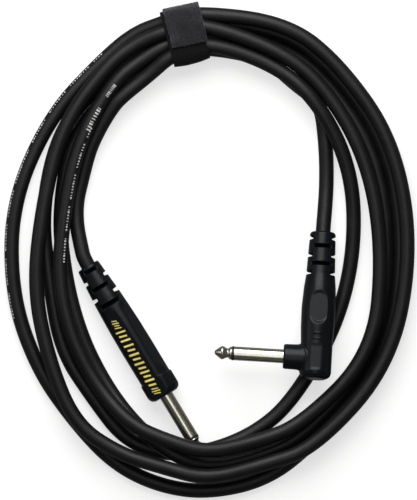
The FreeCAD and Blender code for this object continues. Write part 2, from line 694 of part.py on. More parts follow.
def angle_plug():
    """The right-angle plug's pieces; local Z runs from the cable end, the pin leaves it along -X."""
    frame = angle_frame
    turn = frame.Rotation
    side_way, up_way, run_way = [turn.multVec(way) for way in (Vector(1, 0, 0), Vector(0, 1, 0), UP)]
    pin_start = angle_start + run_way * size(PIN_PLACE) - side_way * size("angle_nose_reach")
    pin = Placement(pin_start, Rotation(up_way, run_way * -1, side_way * -1, "ZXY"))
    inner = moved(frame, 0, 0, size("cable_in_plug"))
    sleeve, tip, insulator = pin_pieces("angle", pin)
    core_end = PIN_PLACE + " - angle_core_back"
    wire_end = PIN_PLACE + " - angle_wire_back"
    core = prism("angle_core", moved(inner, -size("angle_core_offset"), 0, 0), CORE_SIDES, "core_radius",
                 core_end + " - cable_in_plug")
    wire = prism("angle_conductor", moved(frame, -size("angle_core_offset"), 0, size(core_end)), WIRE_SIDES,
                 "conductor_radius", "(%s) - (%s)" % (wire_end, core_end))
    shield = prism("angle_shield", moved(inner, -size("angle_shield_sink"), size("angle_shield_offset"), 0),
                   WIRE_SIDES, "shield_radius", PIN_PLACE + " - angle_shield_back - cable_in_plug")
    # The tip lug's tab runs back beside the rod, then along the core to the conductor.
    tab_level = "-(angle_nose_reach - angle_core_offset - conductor_radius + solder_depth)"
    tab_bend_end = "angle_tab_bend + lug_thickness"
    tab = [block("AngleTabFoot", pin, ("-tab_width / 2", "rod_radius", "-(%s)" % ROD_BACK),
                 ("tab_width / 2", tab_bend_end, "-(%s)" % WASHER_BACK)),
           block("AngleTabLeg", pin, ("-tab_width / 2", "angle_tab_bend", tab_level),
                 ("tab_width / 2", tab_bend_end, "-(%s)" % WASHER_BACK)),
           block("AngleTabEnd", pin, ("-tab_width / 2", "angle_tab_bend", tab_level),
                 ("tab_width / 2", "angle_tab_back", tab_level + " + lug_thickness"))]
    tip_ring = flat_ring("AngleTipRing", back_of(pin, ROD_BACK), "rod_radius", "tip_lug_radius", "lug_thickness")
    tip_lug = without("angle_tip_lug", fused("AngleTipLugForm", [tip_ring] + tab), [wire])
    # The sleeve lug's strip does the same on the other side, to the twisted shield.
    strip_level = "-(angle_nose_reach - angle_shield_sink + shield_radius - solder_depth)"
    strip_end = "angle_strip_side + strip_width / 2"
    strip = [block("AngleStripLeg", pin, ("angle_strip_side", "angle_strip_bend", strip_level),
                   ("angle_strip_side + strip_width / 3", "angle_strip_bend + lug_thickness", "-(%s)" % FLANGE_BACK)),
             block("AngleStripEnd", pin, ("angle_strip_side", "angle_strip_bend", strip_level + " - lug_thickness"),
                   (strip_end, "angle_strip_back", strip_level))]
    sleeve_ring = flat_ring("AngleSleeveRing", back_of(pin, LUG_BACK), "sleeve_bore", "flange_radius", "lug_thickness")
    sleeve_lug = without("angle_sleeve_lug", fused("AngleSleeveLugForm", [sleeve_ring] + strip), [shield])
    washer = without("angle_washer", flat_ring("AngleWasherRing", back_of(pin, WASHER_BACK), "rod_radius",
                                               "flange_radius", "washer_thickness"), [sleeve_lug])
    nose_back = "angle_nose_reach + angle_mould_overlap"
    mould_forms = []
    for name in ("AngleMould", "AngleMouldSpace"):
        bar = prism(name + "Bar", moved(frame, 0, 0, size("mould_start")), "round_sides", "mould_radius",
                    "angle_length - mould_start - angle_end_wall")
        nose = prism(name + "Nose", back_of(pin, nose_back), "round_sides", "flange_radius",
                     "%s - (%s)" % (nose_back, WASHER_BACK))
        mould_forms.append(fused(name + "Form", [bar, nose]))
    cable = cylinder("AngleCableSeat", frame, "cable_diameter / 2", "cable_in_plug")
    mould = without("angle_inner_mould", mould_forms[0], [cable, core, wire, shield, tip_lug, sleeve_lug, tip])
    outer = turned("AngleOuter", frame, (
        ("angle_relief_radius", "0"), ("angle_neck_radius", "angle_relief_length"),
        ("angle_body_radius", "angle_belly_place"), ("angle_head_radius", "angle_length - angle_head_length"),
        ("angle_head_radius", "angle_length - angle_edge_length"),
        ("angle_head_radius - angle_edge_drop", "angle_length - angle_face_length"),
        ("angle_head_radius - angle_face_drop", "angle_length")))
    nose = turned("AngleNose", back_of(pin, "angle_nose_reach"), (
        ("angle_nose_root_radius", "0"), ("angle_nose_face_radius", "angle_nose_reach")))
    pad = thumb_flat("AnglePad", moved(frame, 0, 0, size("angle_belly_place")), "angle_pad_length",
                     "angle_pad_width", "angle_pad_level")
    body = without("angle_body", fused("AngleOuterForm", [outer, nose]), plug_spaces("Angle", frame, pin)
                   + [mould_forms[1], pad] + relief_notches("Angle", frame, size("angle_notches")))
    return [body, mould, sleeve, tip, insulator, washer, tip_lug, sleeve_lug, core, wire, shield]


pieces = [doc.getObject(name) for name in ("cable_jacket", "tie_band", "tie_flap")] + straight_plug() + angle_plug()
doc.recompute()
for item in doc.Objects:
    if "Invalid" in item.State or "Error" in item.State:
        raise RuntimeError("%s has failed" % item.Name)
for piece in pieces:
    if piece.Shape.isNull() or not piece.Shape.isValid() or len(piece.Shape.Solids) != 1:
        raise RuntimeError("%s is not one valid solid" % piece.Name)
for piece in pieces:
    piece.Label = piece.Name
    print("%-22s volume %9.1f faces %4d" % (piece.Label, piece.Shape.Volume, len(piece.Shape.Faces)))
    piece.Shape.exportStep("parts/%s.step" % piece.Label)
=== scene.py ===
"""Instrument cable, coiled and held by a hook-and-loop tie, with a straight and a right-angle plug.

Lengths in the tables and functions below are millimetres, like the drawing of a cable maker;
they become metres only when points go into a mesh or a curve.
"""

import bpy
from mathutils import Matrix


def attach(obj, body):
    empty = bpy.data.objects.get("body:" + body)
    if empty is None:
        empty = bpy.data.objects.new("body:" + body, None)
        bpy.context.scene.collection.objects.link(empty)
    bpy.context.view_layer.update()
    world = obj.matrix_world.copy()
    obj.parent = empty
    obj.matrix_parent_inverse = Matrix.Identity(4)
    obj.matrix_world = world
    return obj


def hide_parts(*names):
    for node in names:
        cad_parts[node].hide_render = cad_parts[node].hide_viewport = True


bl_info = {
    "name": "Instrument Cable",
    "version": (1, 0, 0),
    "blender": (4, 5, 0),
    "location": "3D View > Sidebar > Cable",
    "description": "Builds a coiled instrument cable with its two plugs, its tie and a studio stage",
    "category": "Object",
}

import math

import bpy
import numpy as np
from bpy.props import FloatProperty, FloatVectorProperty, IntProperty, PointerProperty
from mathutils import Matrix, Vector

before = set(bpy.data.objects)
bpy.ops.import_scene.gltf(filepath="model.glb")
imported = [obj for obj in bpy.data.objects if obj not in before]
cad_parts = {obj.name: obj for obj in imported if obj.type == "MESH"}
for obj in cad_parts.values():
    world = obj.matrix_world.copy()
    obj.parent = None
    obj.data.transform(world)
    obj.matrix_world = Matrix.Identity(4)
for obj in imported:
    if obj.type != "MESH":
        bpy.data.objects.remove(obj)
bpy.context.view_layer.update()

MM = 0.001
BODY = "root"


def colour(name, text, default):
    """A colour that the user can change."""
    return FloatVectorProperty(name=name, description=text, default=default, size=3, subtype="COLOR",
                               min=0.0, max=1.0)


def length(name, text, default):
    """A length in metres that the user can change."""
    return FloatProperty(name=name, description=text, default=default, unit="LENGTH", min=0.0)


def power(name, text, default):
    """The power of a lamp in watts that the user can change."""
    return FloatProperty(name=name, description=text, default=default, unit="POWER", min=0.0)


class CableSizes(bpy.types.PropertyGroup):
    """Sizes and colours of the cable itself."""

    diameter: length("Diameter", "Outer diameter of the jacket", 0.0068)
    cord_length: length("Length", "Length of the cable with its ends inside the plugs", 3.133)
    jacket: colour("Jacket", "Colour of the jacket", (0.0036, 0.0036, 0.004))
    print_colour: colour("Print", "Colour of the dashes along the jacket", (0.4, 0.4, 0.39))


class TieSizes(bpy.types.PropertyGroup):
    """Sizes and colours of the hook-and-loop tie."""

    width: length("Width", "Width of the strip", 0.017)
    thickness: length("Thickness", "Thickness of one layer", 0.001)
    fibres: IntProperty(name="Fibres", description="Loose loops of pile on the outside", default=2600, min=0)
    cloth: colour("Cloth", "Colour of the pile", (0.0092, 0.0088, 0.0108))


class PlugSizes(bpy.types.PropertyGroup):
    """Sizes and colours of the two plugs."""

    sleeve_radius: length("Sleeve radius", "Radius of the pin's sleeve", 0.003175)
    turns: IntProperty(name="Steps round", description="Points round each moulded body", default=240, min=24)
    rubber: colour("Body", "Colour of the moulded bodies", (0.0032, 0.0041, 0.005))
    nickel: colour("Nickel", "Colour of the pins' plating", (0.58, 0.57, 0.46))
    gold: colour("Bars", "Colour of the bars on the straight plug", (0.6, 0.5, 0.1))


class StageSizes(bpy.types.PropertyGroup):
    """Camera, lamps and floor."""

    view_height: length("View height", "Height of the picture at the cable", 0.230)
    lens: FloatProperty(name="Lens", description="Focal length of the camera in millimetres", default=600.0,
                        unit="CAMERA", min=10.0)
    overhead: power("Overhead lamp", "Power of the large lamp", 3.5)
    front: power("Front lamp", "Power of the lamp beyond the tie", 11.5)
    side: power("Side lamp", "Power of the lamp at the left", 0.7)
    sky: FloatProperty(name="Sky", description="Strength of the even light", default=0.26, min=0.0)


# The cable's route. A row of STATIONS is one direction seen from the coil's centre, in degrees, with
# the radius of the outermost turn's middle and, for each of the five turns, its inset from that one
# and its height over TABLE_LEVEL, both in pitches.
CABLE_RADIUS = 3.4
PITCH = 7.25
TABLE_LEVEL = 2.72
SLACK = 0.02
STATIONS = (
    (72, 108.5, ((2.56, 1.05), (0.46, 0.0), (0.00, 1.0), (1.60, 1.20), (1.37, 0.0))),
    (54, 103.1, ((2.66, 1.15), (0.45, 0.0), (0.00, 1.0), (1.69, 1.08), (1.31, 0.0))),
    (30, 96.2, ((3.05, 0.50), (0.42, 0.0), (0.00, 1.0), (1.88, 1.0), (1.28, 0.0))),
    (0, 91.4, ((3.48, 0.0), (0.42, 0.0), (0.00, 1.0), (1.74, 1.0), (1.28, 0.0))),
    (-32, 95.1, ((3.83, 0.0), (0.26, 0.0), (0.00, 1.0), (1.35, 1.02), (1.10, 0.0))),
    (-60, 100.4, ((3.15, 0.0), (0.14, 0.0), (0.00, 1.0), (1.60, 1.12), (0.96, 0.04))),
    (-76, 107.3, ((2.95, 0.0), (0.00, 0.0), (0.82, 1.1), (2.38, 1.42), (1.46, 0.25))),
    (-90, 110.3, ((2.56, 0.0), (0.00, 0.0), (0.94, 1.62), (2.60, 1.95), (1.66, 0.74))),
    (-102, 109.7, ((2.03, 0.0), (0.00, 0.0), (1.13, 1.55), (2.85, 1.98), (2.27, 1.08))),
    (-114, 106.1, ((1.72, 0.0), (0.00, 0.0), (0.68, 1.1), (2.70, 1.72), (2.86, 0.6))),
    (-128, 99.5, ((1.85, 0.0), (0.00, 0.0), (0.15, 1.0), (2.60, 1.08), (3.08, 0.0))),
    (-146, 94.5, ((1.95, 0.0), (0.00, 0.0), (0.88, 1.0), (2.79, 1.0), (3.36, 0.0))),
    (-168, 91.3, ((2.32, 0.0), (0.00, 0.0), (1.45, 1.0), (3.02, 1.02), (3.40, 0.0))),
    (-194, 91.1, ((1.82, 0.0), (0.00, 0.0), (1.76, 1.02), (3.15, 1.05), (2.90, 0.0))),
    (-220, 94.1, ((1.00, 0.0), (0.00, 0.0), (1.04, 1.0), (2.40, 1.10), (1.97, 0.0))),
    (-240, 99.7, ((1.00, 0.0), (0.00, 0.0), (0.55, 0.98), (1.66, 1.04), (1.98, 0.0))),
)
LOOPS = 5
# In the tie the six strands form two triples that roll against each other: the share of the roll
# just before the tie, at its left edge and at its right edge.
ROLL_BEFORE, ROLL_LEFT, ROLL_RIGHT = 0.08, 0.30, 0.72
ROLL_ANGLE = 60.0
# A triple's radius, how far apart the two middles are, how much further halfway through the roll,
# and the bundle's own middle, all in pitches of the bundle.
TRIPLE_RADIUS = 1 / math.sqrt(3)
TRIPLE_DISTANCE = 1.5
TRIPLE_SPREAD = 0.28
BUNDLE_MIDDLE = 1.25
BUNDLE_PITCH = PITCH * 1.06
# The triple that each strand passes in, and its direction there before the roll.
PASS_PLACES = (("inner", 150), ("outer", 210), ("outer", 330), ("outer", 90), ("inner", 30), ("inner", 270))
# The strands in the tie are drawn together across it, as the strip pulls them tight.
TIE_SQUEEZE = 0.78
TIE_WIDTH = 17.0
TIE_CENTRE = np.array((-10.0, 98.6, 0.0))
# Room for the strip under the strands, how far the lowest one dips as it rolls, and from both the
# height that the strands' places in the tie are counted from.
TIE_UNDER = 1.25
BUNDLE_DIP = 0.07 * BUNDLE_PITCH
TIE_LOW = TIE_UNDER + CABLE_RADIUS + BUNDLE_DIP
# Just before the tie: the direction, the radius and the share of the rise to TIE_LOW done there.
BEFORE_TIE_ANGLE, BEFORE_TIE_RADIUS, BEFORE_TIE_LIFT = -251, 104.6, 0.3
TILT = math.radians(12)
TIE_RUN = np.array((math.cos(TILT), math.sin(TILT), 0.0))
TIE_SIDE = np.array((-math.sin(TILT), math.cos(TILT), 0.0))
UP = np.array((0.0, 0.0, 1.0))
CABLE_IN_PLUG = 24.0


def unit(vector):
    """The vector at length one."""
    vector = np.asarray(vector, float)
    return vector / np.linalg.norm(vector)


def polar(angle, radius, height):
    """A point by its direction from the coil's centre, its radius and its height."""
    turn = math.radians(angle)
    return np.array((radius * math.cos(turn), radius * math.sin(turn), height))


def circle(count):
    """Turns evenly round a circle."""
    return np.linspace(0, 2 * math.pi, count + 1)[:-1]


def directions(turns):
    """The cosine and the sine of each turn."""
    return np.column_stack((np.cos(turns), np.sin(turns)))


def walked_along(points):
    """The length walked along a line at each of its points."""
    return np.concatenate(((0.0,), np.cumsum(np.linalg.norm(np.diff(points, axis=0), axis=1))))


def line_at(points, walked, at):
    """Places on a line at some walked lengths, straight between its points."""
    return np.column_stack([np.interp(at, walked, points[:, axis]) for axis in range(points.shape[1])])


def bundle_place(strand, roll):
    """Offset of one strand in the tie, outwards and upwards, in bundle pitches."""
    side, start = PASS_PLACES[strand]
    half = (TRIPLE_DISTANCE + TRIPLE_SPREAD * math.sin(math.pi * roll)) / 2
    rise = TRIPLE_RADIUS / 2 * roll
    if side == "inner":
        angle = math.radians(start - ROLL_ANGLE * roll)
        middle = (BUNDLE_MIDDLE - half, TRIPLE_RADIUS - rise)
    else:
        angle = math.radians(start + ROLL_ANGLE * roll)
        middle = (BUNDLE_MIDDLE + half, TRIPLE_RADIUS / 2 + rise)
    return middle[0] + math.cos(angle) * TRIPLE_RADIUS, middle[1] + math.sin(angle) * TRIPLE_RADIUS


def tie_nodes(strand):
    """Three points of one strand: before the tie, at its left and at its right edge."""
    outwards, upwards = bundle_place(strand, ROLL_BEFORE)
    inset = (2 * BUNDLE_MIDDLE - outwards) * BUNDLE_PITCH
    lift = TABLE_LEVEL + BEFORE_TIE_LIFT * (TIE_LOW - TABLE_LEVEL) + upwards * BUNDLE_PITCH
    points = [polar(BEFORE_TIE_ANGLE, BEFORE_TIE_RADIUS - inset, lift)]
    for roll, along in ((ROLL_LEFT, -0.5), (ROLL_RIGHT, 0.5)):
        outwards, upwards = bundle_place(strand, roll)
        points.append(TIE_CENTRE + TIE_RUN * (along * TIE_WIDTH)
                      + TIE_SIDE * ((outwards - BUNDLE_MIDDLE) * BUNDLE_PITCH * TIE_SQUEEZE)
                      + UP * (TIE_LOW + upwards * BUNDLE_PITCH))
    return points


# Straight plug, from the cable end to the face; relief and collar are each a radius and a length.
STRAIGHT_LENGTH = 69.5
STRAIGHT_RELIEF = (5.35, 16.7)
STRAIGHT_NECK = 6.65
STRAIGHT_COLLAR = (8.0, 9.2)
STRAIGHT_LEAN = math.atan((STRAIGHT_COLLAR[0] - STRAIGHT_NECK)
                          / (STRAIGHT_LENGTH - STRAIGHT_COLLAR[1] - STRAIGHT_RELIEF[1]))
STRAIGHT_HEIGHT = (STRAIGHT_NECK * math.cos(STRAIGHT_LEAN)
                   - STRAIGHT_RELIEF[1] * math.sin(STRAIGHT_LEAN) + SLACK)
STRAIGHT_START = np.array((-55.5, -7.0, STRAIGHT_HEIGHT))
# Right-angle plug, from the cable end to its closed head.
ANGLE_LENGTH = 68.0
ANGLE_RELIEF = (5.9, 19.8)
ANGLE_LEAN = math.radians(9.0)
ANGLE_START = np.array((52.7, 8.3, ANGLE_RELIEF[0] + SLACK))
ANGLE_PIN_PLACE = ANGLE_LENGTH - 9.6
HEAD_RADIUS = 7.35
NOSE_REACH = 15.0


def leaning(direction, lean):
    """A unit vector over a flat direction, leaning up by an angle in radians."""
    flat = unit((direction[0], direction[1], 0.0))
    return flat * math.cos(lean) + UP * math.sin(lean)


class Seat:
    """A place with three directions: local X, Y and Z in the model."""

    def __init__(self, origin, side, over, along):
        self.origin = np.asarray(origin, float)
        self.ways = np.array((side, over, along))

    def put(self, points):
        """Local points in millimetres as model points in metres."""
        return (np.asarray(points, float) @ self.ways + self.origin) * MM

    def ahead(self, distance):
        """The same seat moved along its Z."""
        return Seat(self.origin + self.ways[2] * distance, *self.ways)


def seat_along(origin, axis):
    """A seat with its Z along the axis and its Y as near to up as it can be."""
    side = unit(np.cross(UP, axis))
    return Seat(origin, side, np.cross(axis, side), axis)


STRAIGHT_SEAT = seat_along(STRAIGHT_START, leaning((0.518, -0.855), STRAIGHT_LEAN))
STRAIGHT_PIN = STRAIGHT_SEAT.ahead(STRAIGHT_LENGTH)
ANGLE_SEAT = seat_along(ANGLE_START, leaning((-0.059, -0.998), ANGLE_LEAN))
SIDE_WAY, OVER_WAY, RUN_WAY = ANGLE_SEAT.ways
NOSE_SEAT = Seat(ANGLE_START + RUN_WAY * ANGLE_PIN_PLACE, OVER_WAY, -RUN_WAY, -SIDE_WAY)
ANGLE_PIN = NOSE_SEAT.ahead(NOSE_REACH)

# The stretches from the straight plug to the tie and from the tie to the right-angle plug.
STRAIGHT_TAIL = (
    (-58.7, 2.2, 5.3),
    (-60.5, 12.0, 4.0),
    (-60.5, 22.5, 3.4),
    (-58.2, 33.4, 3.8),
    (-54.6, 46.4, 5.6),
    (-49.8, 56.8, 7.2),
    (-44.9, 64.8, 8.7),
    (-39.6, 70.9, 9.7),
)
ANGLE_TAIL = (
    polar(74, 91.3, TABLE_LEVEL),
    polar(62, 86.6, TABLE_LEVEL),
    (50.6, 67.2, TABLE_LEVEL),
    (53.8, 49.7, TABLE_LEVEL),
    (54.3, 32.2, TABLE_LEVEL),
    (53.5, 18.0, 4.3),
)


def cable_nodes():
    """Points of the whole cable from plug to plug."""
    nodes = [STRAIGHT_START + STRAIGHT_SEAT.ways[2] * CABLE_IN_PLUG, STRAIGHT_START]
    nodes += [*STRAIGHT_TAIL, *tie_nodes(0)]
    for loop in range(LOOPS):
        for angle, radius, places in STATIONS:
            inset, level = places[loop]
            nodes.append(polar(angle, radius - inset * PITCH, TABLE_LEVEL + level * PITCH))
        nodes += tie_nodes(loop + 1)
    nodes += [*ANGLE_TAIL, ANGLE_START, ANGLE_START + RUN_WAY * CABLE_IN_PLUG]
    return np.array(nodes)


# How often the control points are moved out; more passes change them by under 0.01 mm.
OUTWARD_PASSES = 12


def control_points(nodes):
    """Control points of a smooth line through the nodes.

    A spline of order three passes each inner node at an eighth of both neighbours and six eighths
    of the point itself, so each point is moved out until that mean is the node.
    """
    points = nodes.copy()
    for _ in range(OUTWARD_PASSES):
        points[1:-1] = (8 * nodes[1:-1] - points[:-2] - points[2:]) / 6
    return points


def link(name, data):
    """A new object in the scene."""
    piece = bpy.data.objects.new(name, data)
    bpy.context.scene.collection.objects.link(piece)
    return piece


def new_mesh(name, vertices, faces, material):
    """A mesh of the given faces in one material."""
    mesh = bpy.data.meshes.new(name)
    mesh.from_pydata(vertices, [], faces)
    mesh.update()
    mesh.materials.append(material)
    return mesh


def grid_mesh(name, points, material, looped=False):
    """Mesh of a grid of points (rows along, columns across), closed round its columns.

    A looped grid joins its last row to its first; otherwise each end row gets a fan of triangles
    to its mean point. The faces are turned over when the signed volume, a third of every face's
    distance times its area, is negative.
    """
    rows, columns = points.shape[:2]
    here = np.arange(rows * columns).reshape(rows, columns)
    if looped:
        here = np.vstack((here, here[:1]))
    after = np.roll(here, -1, axis=1)
    quads = np.stack((here[:-1], after[:-1], after[1:], here[1:]), axis=-1).reshape(-1, 4)
    vertices = points.reshape(-1, 3)
    fans = np.empty((0, 3), int)
    if not looped:
        poles = rows * columns
        vertices = np.vstack((vertices, points[0].mean(axis=0), points[-1].mean(axis=0)))
        low = np.stack((after[0], here[0], np.full(columns, poles)), axis=-1)
        high = np.stack((here[-1], after[-1], np.full(columns, poles + 1)), axis=-1)
        fans = np.vstack((low, high))
    triangles = np.vstack((quads[:, :3], quads[:, [0, 2, 3]], fans))
    corners = vertices[triangles] - vertices.mean(axis=0)
    volume = np.einsum("ij,ij->", corners[:, 0], np.cross(corners[:, 1], corners[:, 2]))
    faces = quads.tolist() + fans.tolist()
    if volume < 0:
        faces = [face[::-1] for face in faces]
    return new_mesh(name, vertices, faces, material)


def tube_faces(count, rows, columns):
    """Faces of many small tubes: each a grid of rows that close round, with a cap at both ends."""
    index = np.arange(count * rows * columns).reshape(count, rows, columns)
    after = np.roll(index, -1, axis=2)
    quads = np.stack((index[:, :-1], after[:, :-1], after[:, 1:], index[:, 1:]), axis=-1).reshape(-1, 4)
    caps = np.vstack((index[:, 0, ::-1], index[:, -1]))
    return quads.tolist() + caps.tolist()


def surface(name, points, material, sharp, nodes=(), hollow=None):
    """A finished piece made of a grid of points in metres, crisp where it bends by more than sharp.

    The depths of painted slot shade, from 0 to 1, and the row where they start become an attribute.
    """
    mesh = grid_mesh(name, points, material)
    if hollow is not None:
        values, first = hollow
        flat = np.zeros(len(mesh.vertices))
        start = first * points.shape[1]
        flat[start:start + values.size] = values.ravel()
        mesh.attributes.new("hollow", "FLOAT", "POINT").data.foreach_set("value", flat)
    mesh.shade_smooth()
    mesh.set_sharp_from_angle(angle=math.radians(sharp))
    finish_piece(link(name, mesh), nodes)


def finish_piece(piece, nodes=()):
    """Put a piece on the object's body and hide the solids it stands for."""
    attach(piece, BODY)
    if nodes:
        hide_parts(*nodes)


WHITE = (1.0, 1.0, 1.0, 1.0)


class Nodes:
    """Short hand for building one node tree. Its inputs take sockets or plain values."""

    def __init__(self, tree):
        self.tree = tree

    def add(self, kind, inputs=None, **traits):
        """A new node with its traits, and its inputs by name or number."""
        node = self.tree.nodes.new(kind)
        for name, value in traits.items():
            setattr(node, name, value)
        for name, value in (inputs or {}).items():
            if isinstance(value, bpy.types.NodeSocket):
                self.tree.links.new(value, node.inputs[name])
            else:
                node.inputs[name].default_value = value
        return node

    def reckon(self, operation, *values):
        """One step of arithmetic."""
        return self.add("ShaderNodeMath", dict(enumerate(values)), operation=operation).outputs[0]

    def mix(self, share, first, second):
        """A number between two others, by a share."""
        return self.add("ShaderNodeMix", {"Factor": share, "A": first, "B": second}).outputs["Result"]

    def blend(self, share, base, tone):
        """The base colour with a share of a plain tone over it."""
        # A mix of colours has its own sockets, the seventh and eighth, and the third output.
        return self.add("ShaderNodeMix", {0: share, 6: base, 7: (*tone, 1.0)}, data_type="RGBA").outputs[2]

    def between(self, value, low, high, start=0.0, end=1.0):
        """A value's range from start to end, carried over to the range from low to high."""
        return self.add("ShaderNodeMapRange", {"Value": value, "From Min": start, "From Max": end,
                                               "To Min": low, "To Max": high}).outputs["Result"]

    def noise(self, place, scale, detail, roughness=0.5):
        """Noise between 0 and 1."""
        return self.add("ShaderNodeTexNoise", {"Vector": place, "Scale": scale, "Detail": detail,
                                               "Roughness": roughness}).outputs["Fac"]

    def bump(self, height, distance, strength=1.0):
        """The normal of a surface dented by a height."""
        return self.add("ShaderNodeBump", {"Height": height, "Distance": distance,
                                           "Strength": strength}).outputs["Normal"]

    def ramp(self, value, stops):
        """Colour ramp over a value; the stops are (place, colour) pairs."""
        node = self.add("ShaderNodeValToRGB", {"Fac": value})
        elements = node.color_ramp.elements
        for index, (place, tone) in enumerate(stops):
            element = elements[index] if index < 2 else elements.new(place)
            element.position = place
            element.color = (*tone, 1.0)
        return node.outputs["Color"]

    def show(self, shader, kind="ShaderNodeOutputMaterial"):
        """Make a shader the surface of the material or the world."""
        self.add(kind, {"Surface": shader})

    def principled(self, sockets):
        """Show a Principled surface with the given sockets."""
        self.show(self.add("ShaderNodeBsdfPrincipled", sockets).outputs["BSDF"])


def effect_group(name, inputs):
    """An empty node group with its named inputs: the group, its helper and the inputs' sockets."""
    group = bpy.data.node_groups.new(name, "ShaderNodeTree")
    for label, kind, value in inputs:
        socket = group.interface.new_socket(label, in_out="INPUT", socket_type=kind)
        if value is not None:
            socket.default_value = value
    work = Nodes(group)
    return group, work, work.add("NodeGroupInput").outputs


def put_out(group, work, outputs):
    """Give a node group its outputs, as (label, kind, socket) rows."""
    for label, kind, _ in outputs:
        group.interface.new_socket(label, in_out="OUTPUT", socket_type=kind)
    work.add("NodeGroupOutput", {label: socket for label, _, socket in outputs})


# How much wider the mottling of a moulded surface is than its grain, as a factor on the scale, and the
# share of the grain in their mean.
MOTTLE_SCALE, GRAIN_SHARE = 0.09, 0.4
# Share of the small cells that hold a speck of lint.
LINT_SHARE = 0.2


def grain_group():
    """Fine grain: two sizes of noise give a tone between 0 and 1 and a dented normal."""
    group, work, given = effect_group("fine_grain", (
        ("Vector", "NodeSocketVector", None), ("Scale", "NodeSocketFloat", 900.0),
        ("Depth", "NodeSocketFloat", 0.00003)))
    fine = work.noise(given["Vector"], given["Scale"], 4.0, 0.6)
    broad = work.noise(given["Vector"], work.reckon("MULTIPLY", given["Scale"], MOTTLE_SCALE), 2.0)
    put_out(group, work, (
        ("Tone", "NodeSocketFloat", work.mix(GRAIN_SHARE, broad, fine)),
        ("Normal", "NodeSocketVector", work.bump(fine, given["Depth"]))))
    return group


def dust_group():
    """Pale lint: small far apart cells of a Voronoi pattern give a mask between 0 and 1."""
    group, work, given = effect_group("pale_lint", (
        ("Vector", "NodeSocketVector", None), ("Scale", "NodeSocketFloat", 260.0),
        ("Size", "NodeSocketFloat", 0.06)))
    cells = work.add("ShaderNodeTexVoronoi", {"Vector": given["Vector"], "Scale": given["Scale"]}).outputs
    spot = work.reckon("LESS_THAN", cells["Distance"], given["Size"])
    choice = work.add("ShaderNodeSeparateColor", {"Color": cells["Color"]}).outputs["Red"]
    rare = work.reckon("LESS_THAN", choice, LINT_SHARE)
    put_out(group, work, (("Mask", "NodeSocketFloat", work.reckon("MULTIPLY", spot, rare)),))
    return group


def effect(name, make):
    """A shared node group, built once."""
    return bpy.data.node_groups.get(name) or make()


def new_material(name):
    """An empty material with its node helper and the object's coordinates."""
    material = bpy.data.materials.new(name)
    material.use_nodes = True
    material.node_tree.nodes.clear()
    work = Nodes(material.node_tree)
    return material, work, work.add("ShaderNodeTexCoord").outputs["Object"]


def scaled(tone, factor):
    """A colour made lighter or darker by a factor."""
    return tuple(channel * factor for channel in tone)


# The part of a noise's range that is spread over a tone or a roughness, as most of it lies there.
NOISE_LOW, NOISE_HIGH = 0.3, 0.7
# Darkest and lightest tone of a moulded surface, as factors, and how far its roughness goes each way.
MOTTLE_DARK, MOTTLE_LIGHT, MOTTLE_ROUGH = 0.75, 1.3, 0.05
LINT_TONE = (0.12, 0.12, 0.12)
# Painted shade deep in a slot: its dark colour, its roughness and its shine.
SLOT_SHADE_TONE, SLOT_SHADE_ROUGHNESS, SLOT_SHADE_SHINE = (0.001, 0.001, 0.001), 0.95, 0.02


def moulded_material(name, tone, roughness, grain=900.0, depth=0.00002, lint=0.0, shine=0.3, hollows=False):
    """Moulded plastic or rubber: a grained surface, slightly mottled, with a little lint.

    With slot shading asked for, a mesh attribute paints shade on what lies deep in a slot: a darker colour,
    a rougher surface and less shine.
    """
    material, work, place = new_material(name)
    grained = work.add("ShaderNodeGroup", {"Vector": place, "Scale": grain, "Depth": depth},
                       node_tree=effect("fine_grain", grain_group)).outputs
    base = work.ramp(grained["Tone"], ((NOISE_LOW, scaled(tone, MOTTLE_DARK)),
                                       (NOISE_HIGH, scaled(tone, MOTTLE_LIGHT))))
    if lint:
        dust = work.add("ShaderNodeGroup", {"Vector": place}, node_tree=effect("pale_lint", dust_group))
        base = work.blend(work.reckon("MULTIPLY", dust.outputs["Mask"], lint), base, LINT_TONE)
    # Painted shade: deep in a slot the colour darkens, the roughness rises and the shine dulls.
    if hollows:
        slot_shade_share = work.add("ShaderNodeAttribute", attribute_name="hollow").outputs["Fac"]
        base = work.blend(slot_shade_share, base, SLOT_SHADE_TONE)
        rough = work.between(slot_shade_share, roughness, SLOT_SHADE_ROUGHNESS)
        shine = work.between(slot_shade_share, shine, SLOT_SHADE_SHINE)
    else:
        rough = work.between(grained["Tone"], roughness - MOTTLE_ROUGH, roughness + MOTTLE_ROUGH,
                             NOISE_LOW, NOISE_HIGH)
    work.principled({"Base Color": base, "Roughness": rough, "Specular IOR Level": shine,
                     "Normal": grained["Normal"]})
    return material


# Scales of the marks and of the tarnish on metal, and how dark the tarnish is, as a factor.
MARKS_SCALE, TARNISH_SCALE, TARNISH = 2200.0, 180.0, 0.85


def metal_material(name, tone, roughness):
    """Plated or bare metal: fine marks in the roughness and a little tarnish in the colour."""
    material, work, place = new_material(name)
    marks = work.noise(place, MARKS_SCALE, 3.0)
    base = work.ramp(work.noise(place, TARNISH_SCALE, 2.0), ((0.35, scaled(tone, TARNISH)), (0.6, tone)))
    rough = work.between(marks, roughness - 0.04, roughness + 0.06, NOISE_LOW, NOISE_HIGH)
    work.principled({"Base Color": base, "Metallic": 1.0, "Roughness": rough,
                     "Normal": work.bump(marks, 0.0000008)})
    return material


# Scales of the pile's fibres, tufts and patches, and how much its tone changes from patch to patch.
FIBRE_SCALE, TUFT_SCALE, PATCH_SCALE = 2600.0, 1500.0, 160.0
PATCH_DEPTH = 0.35


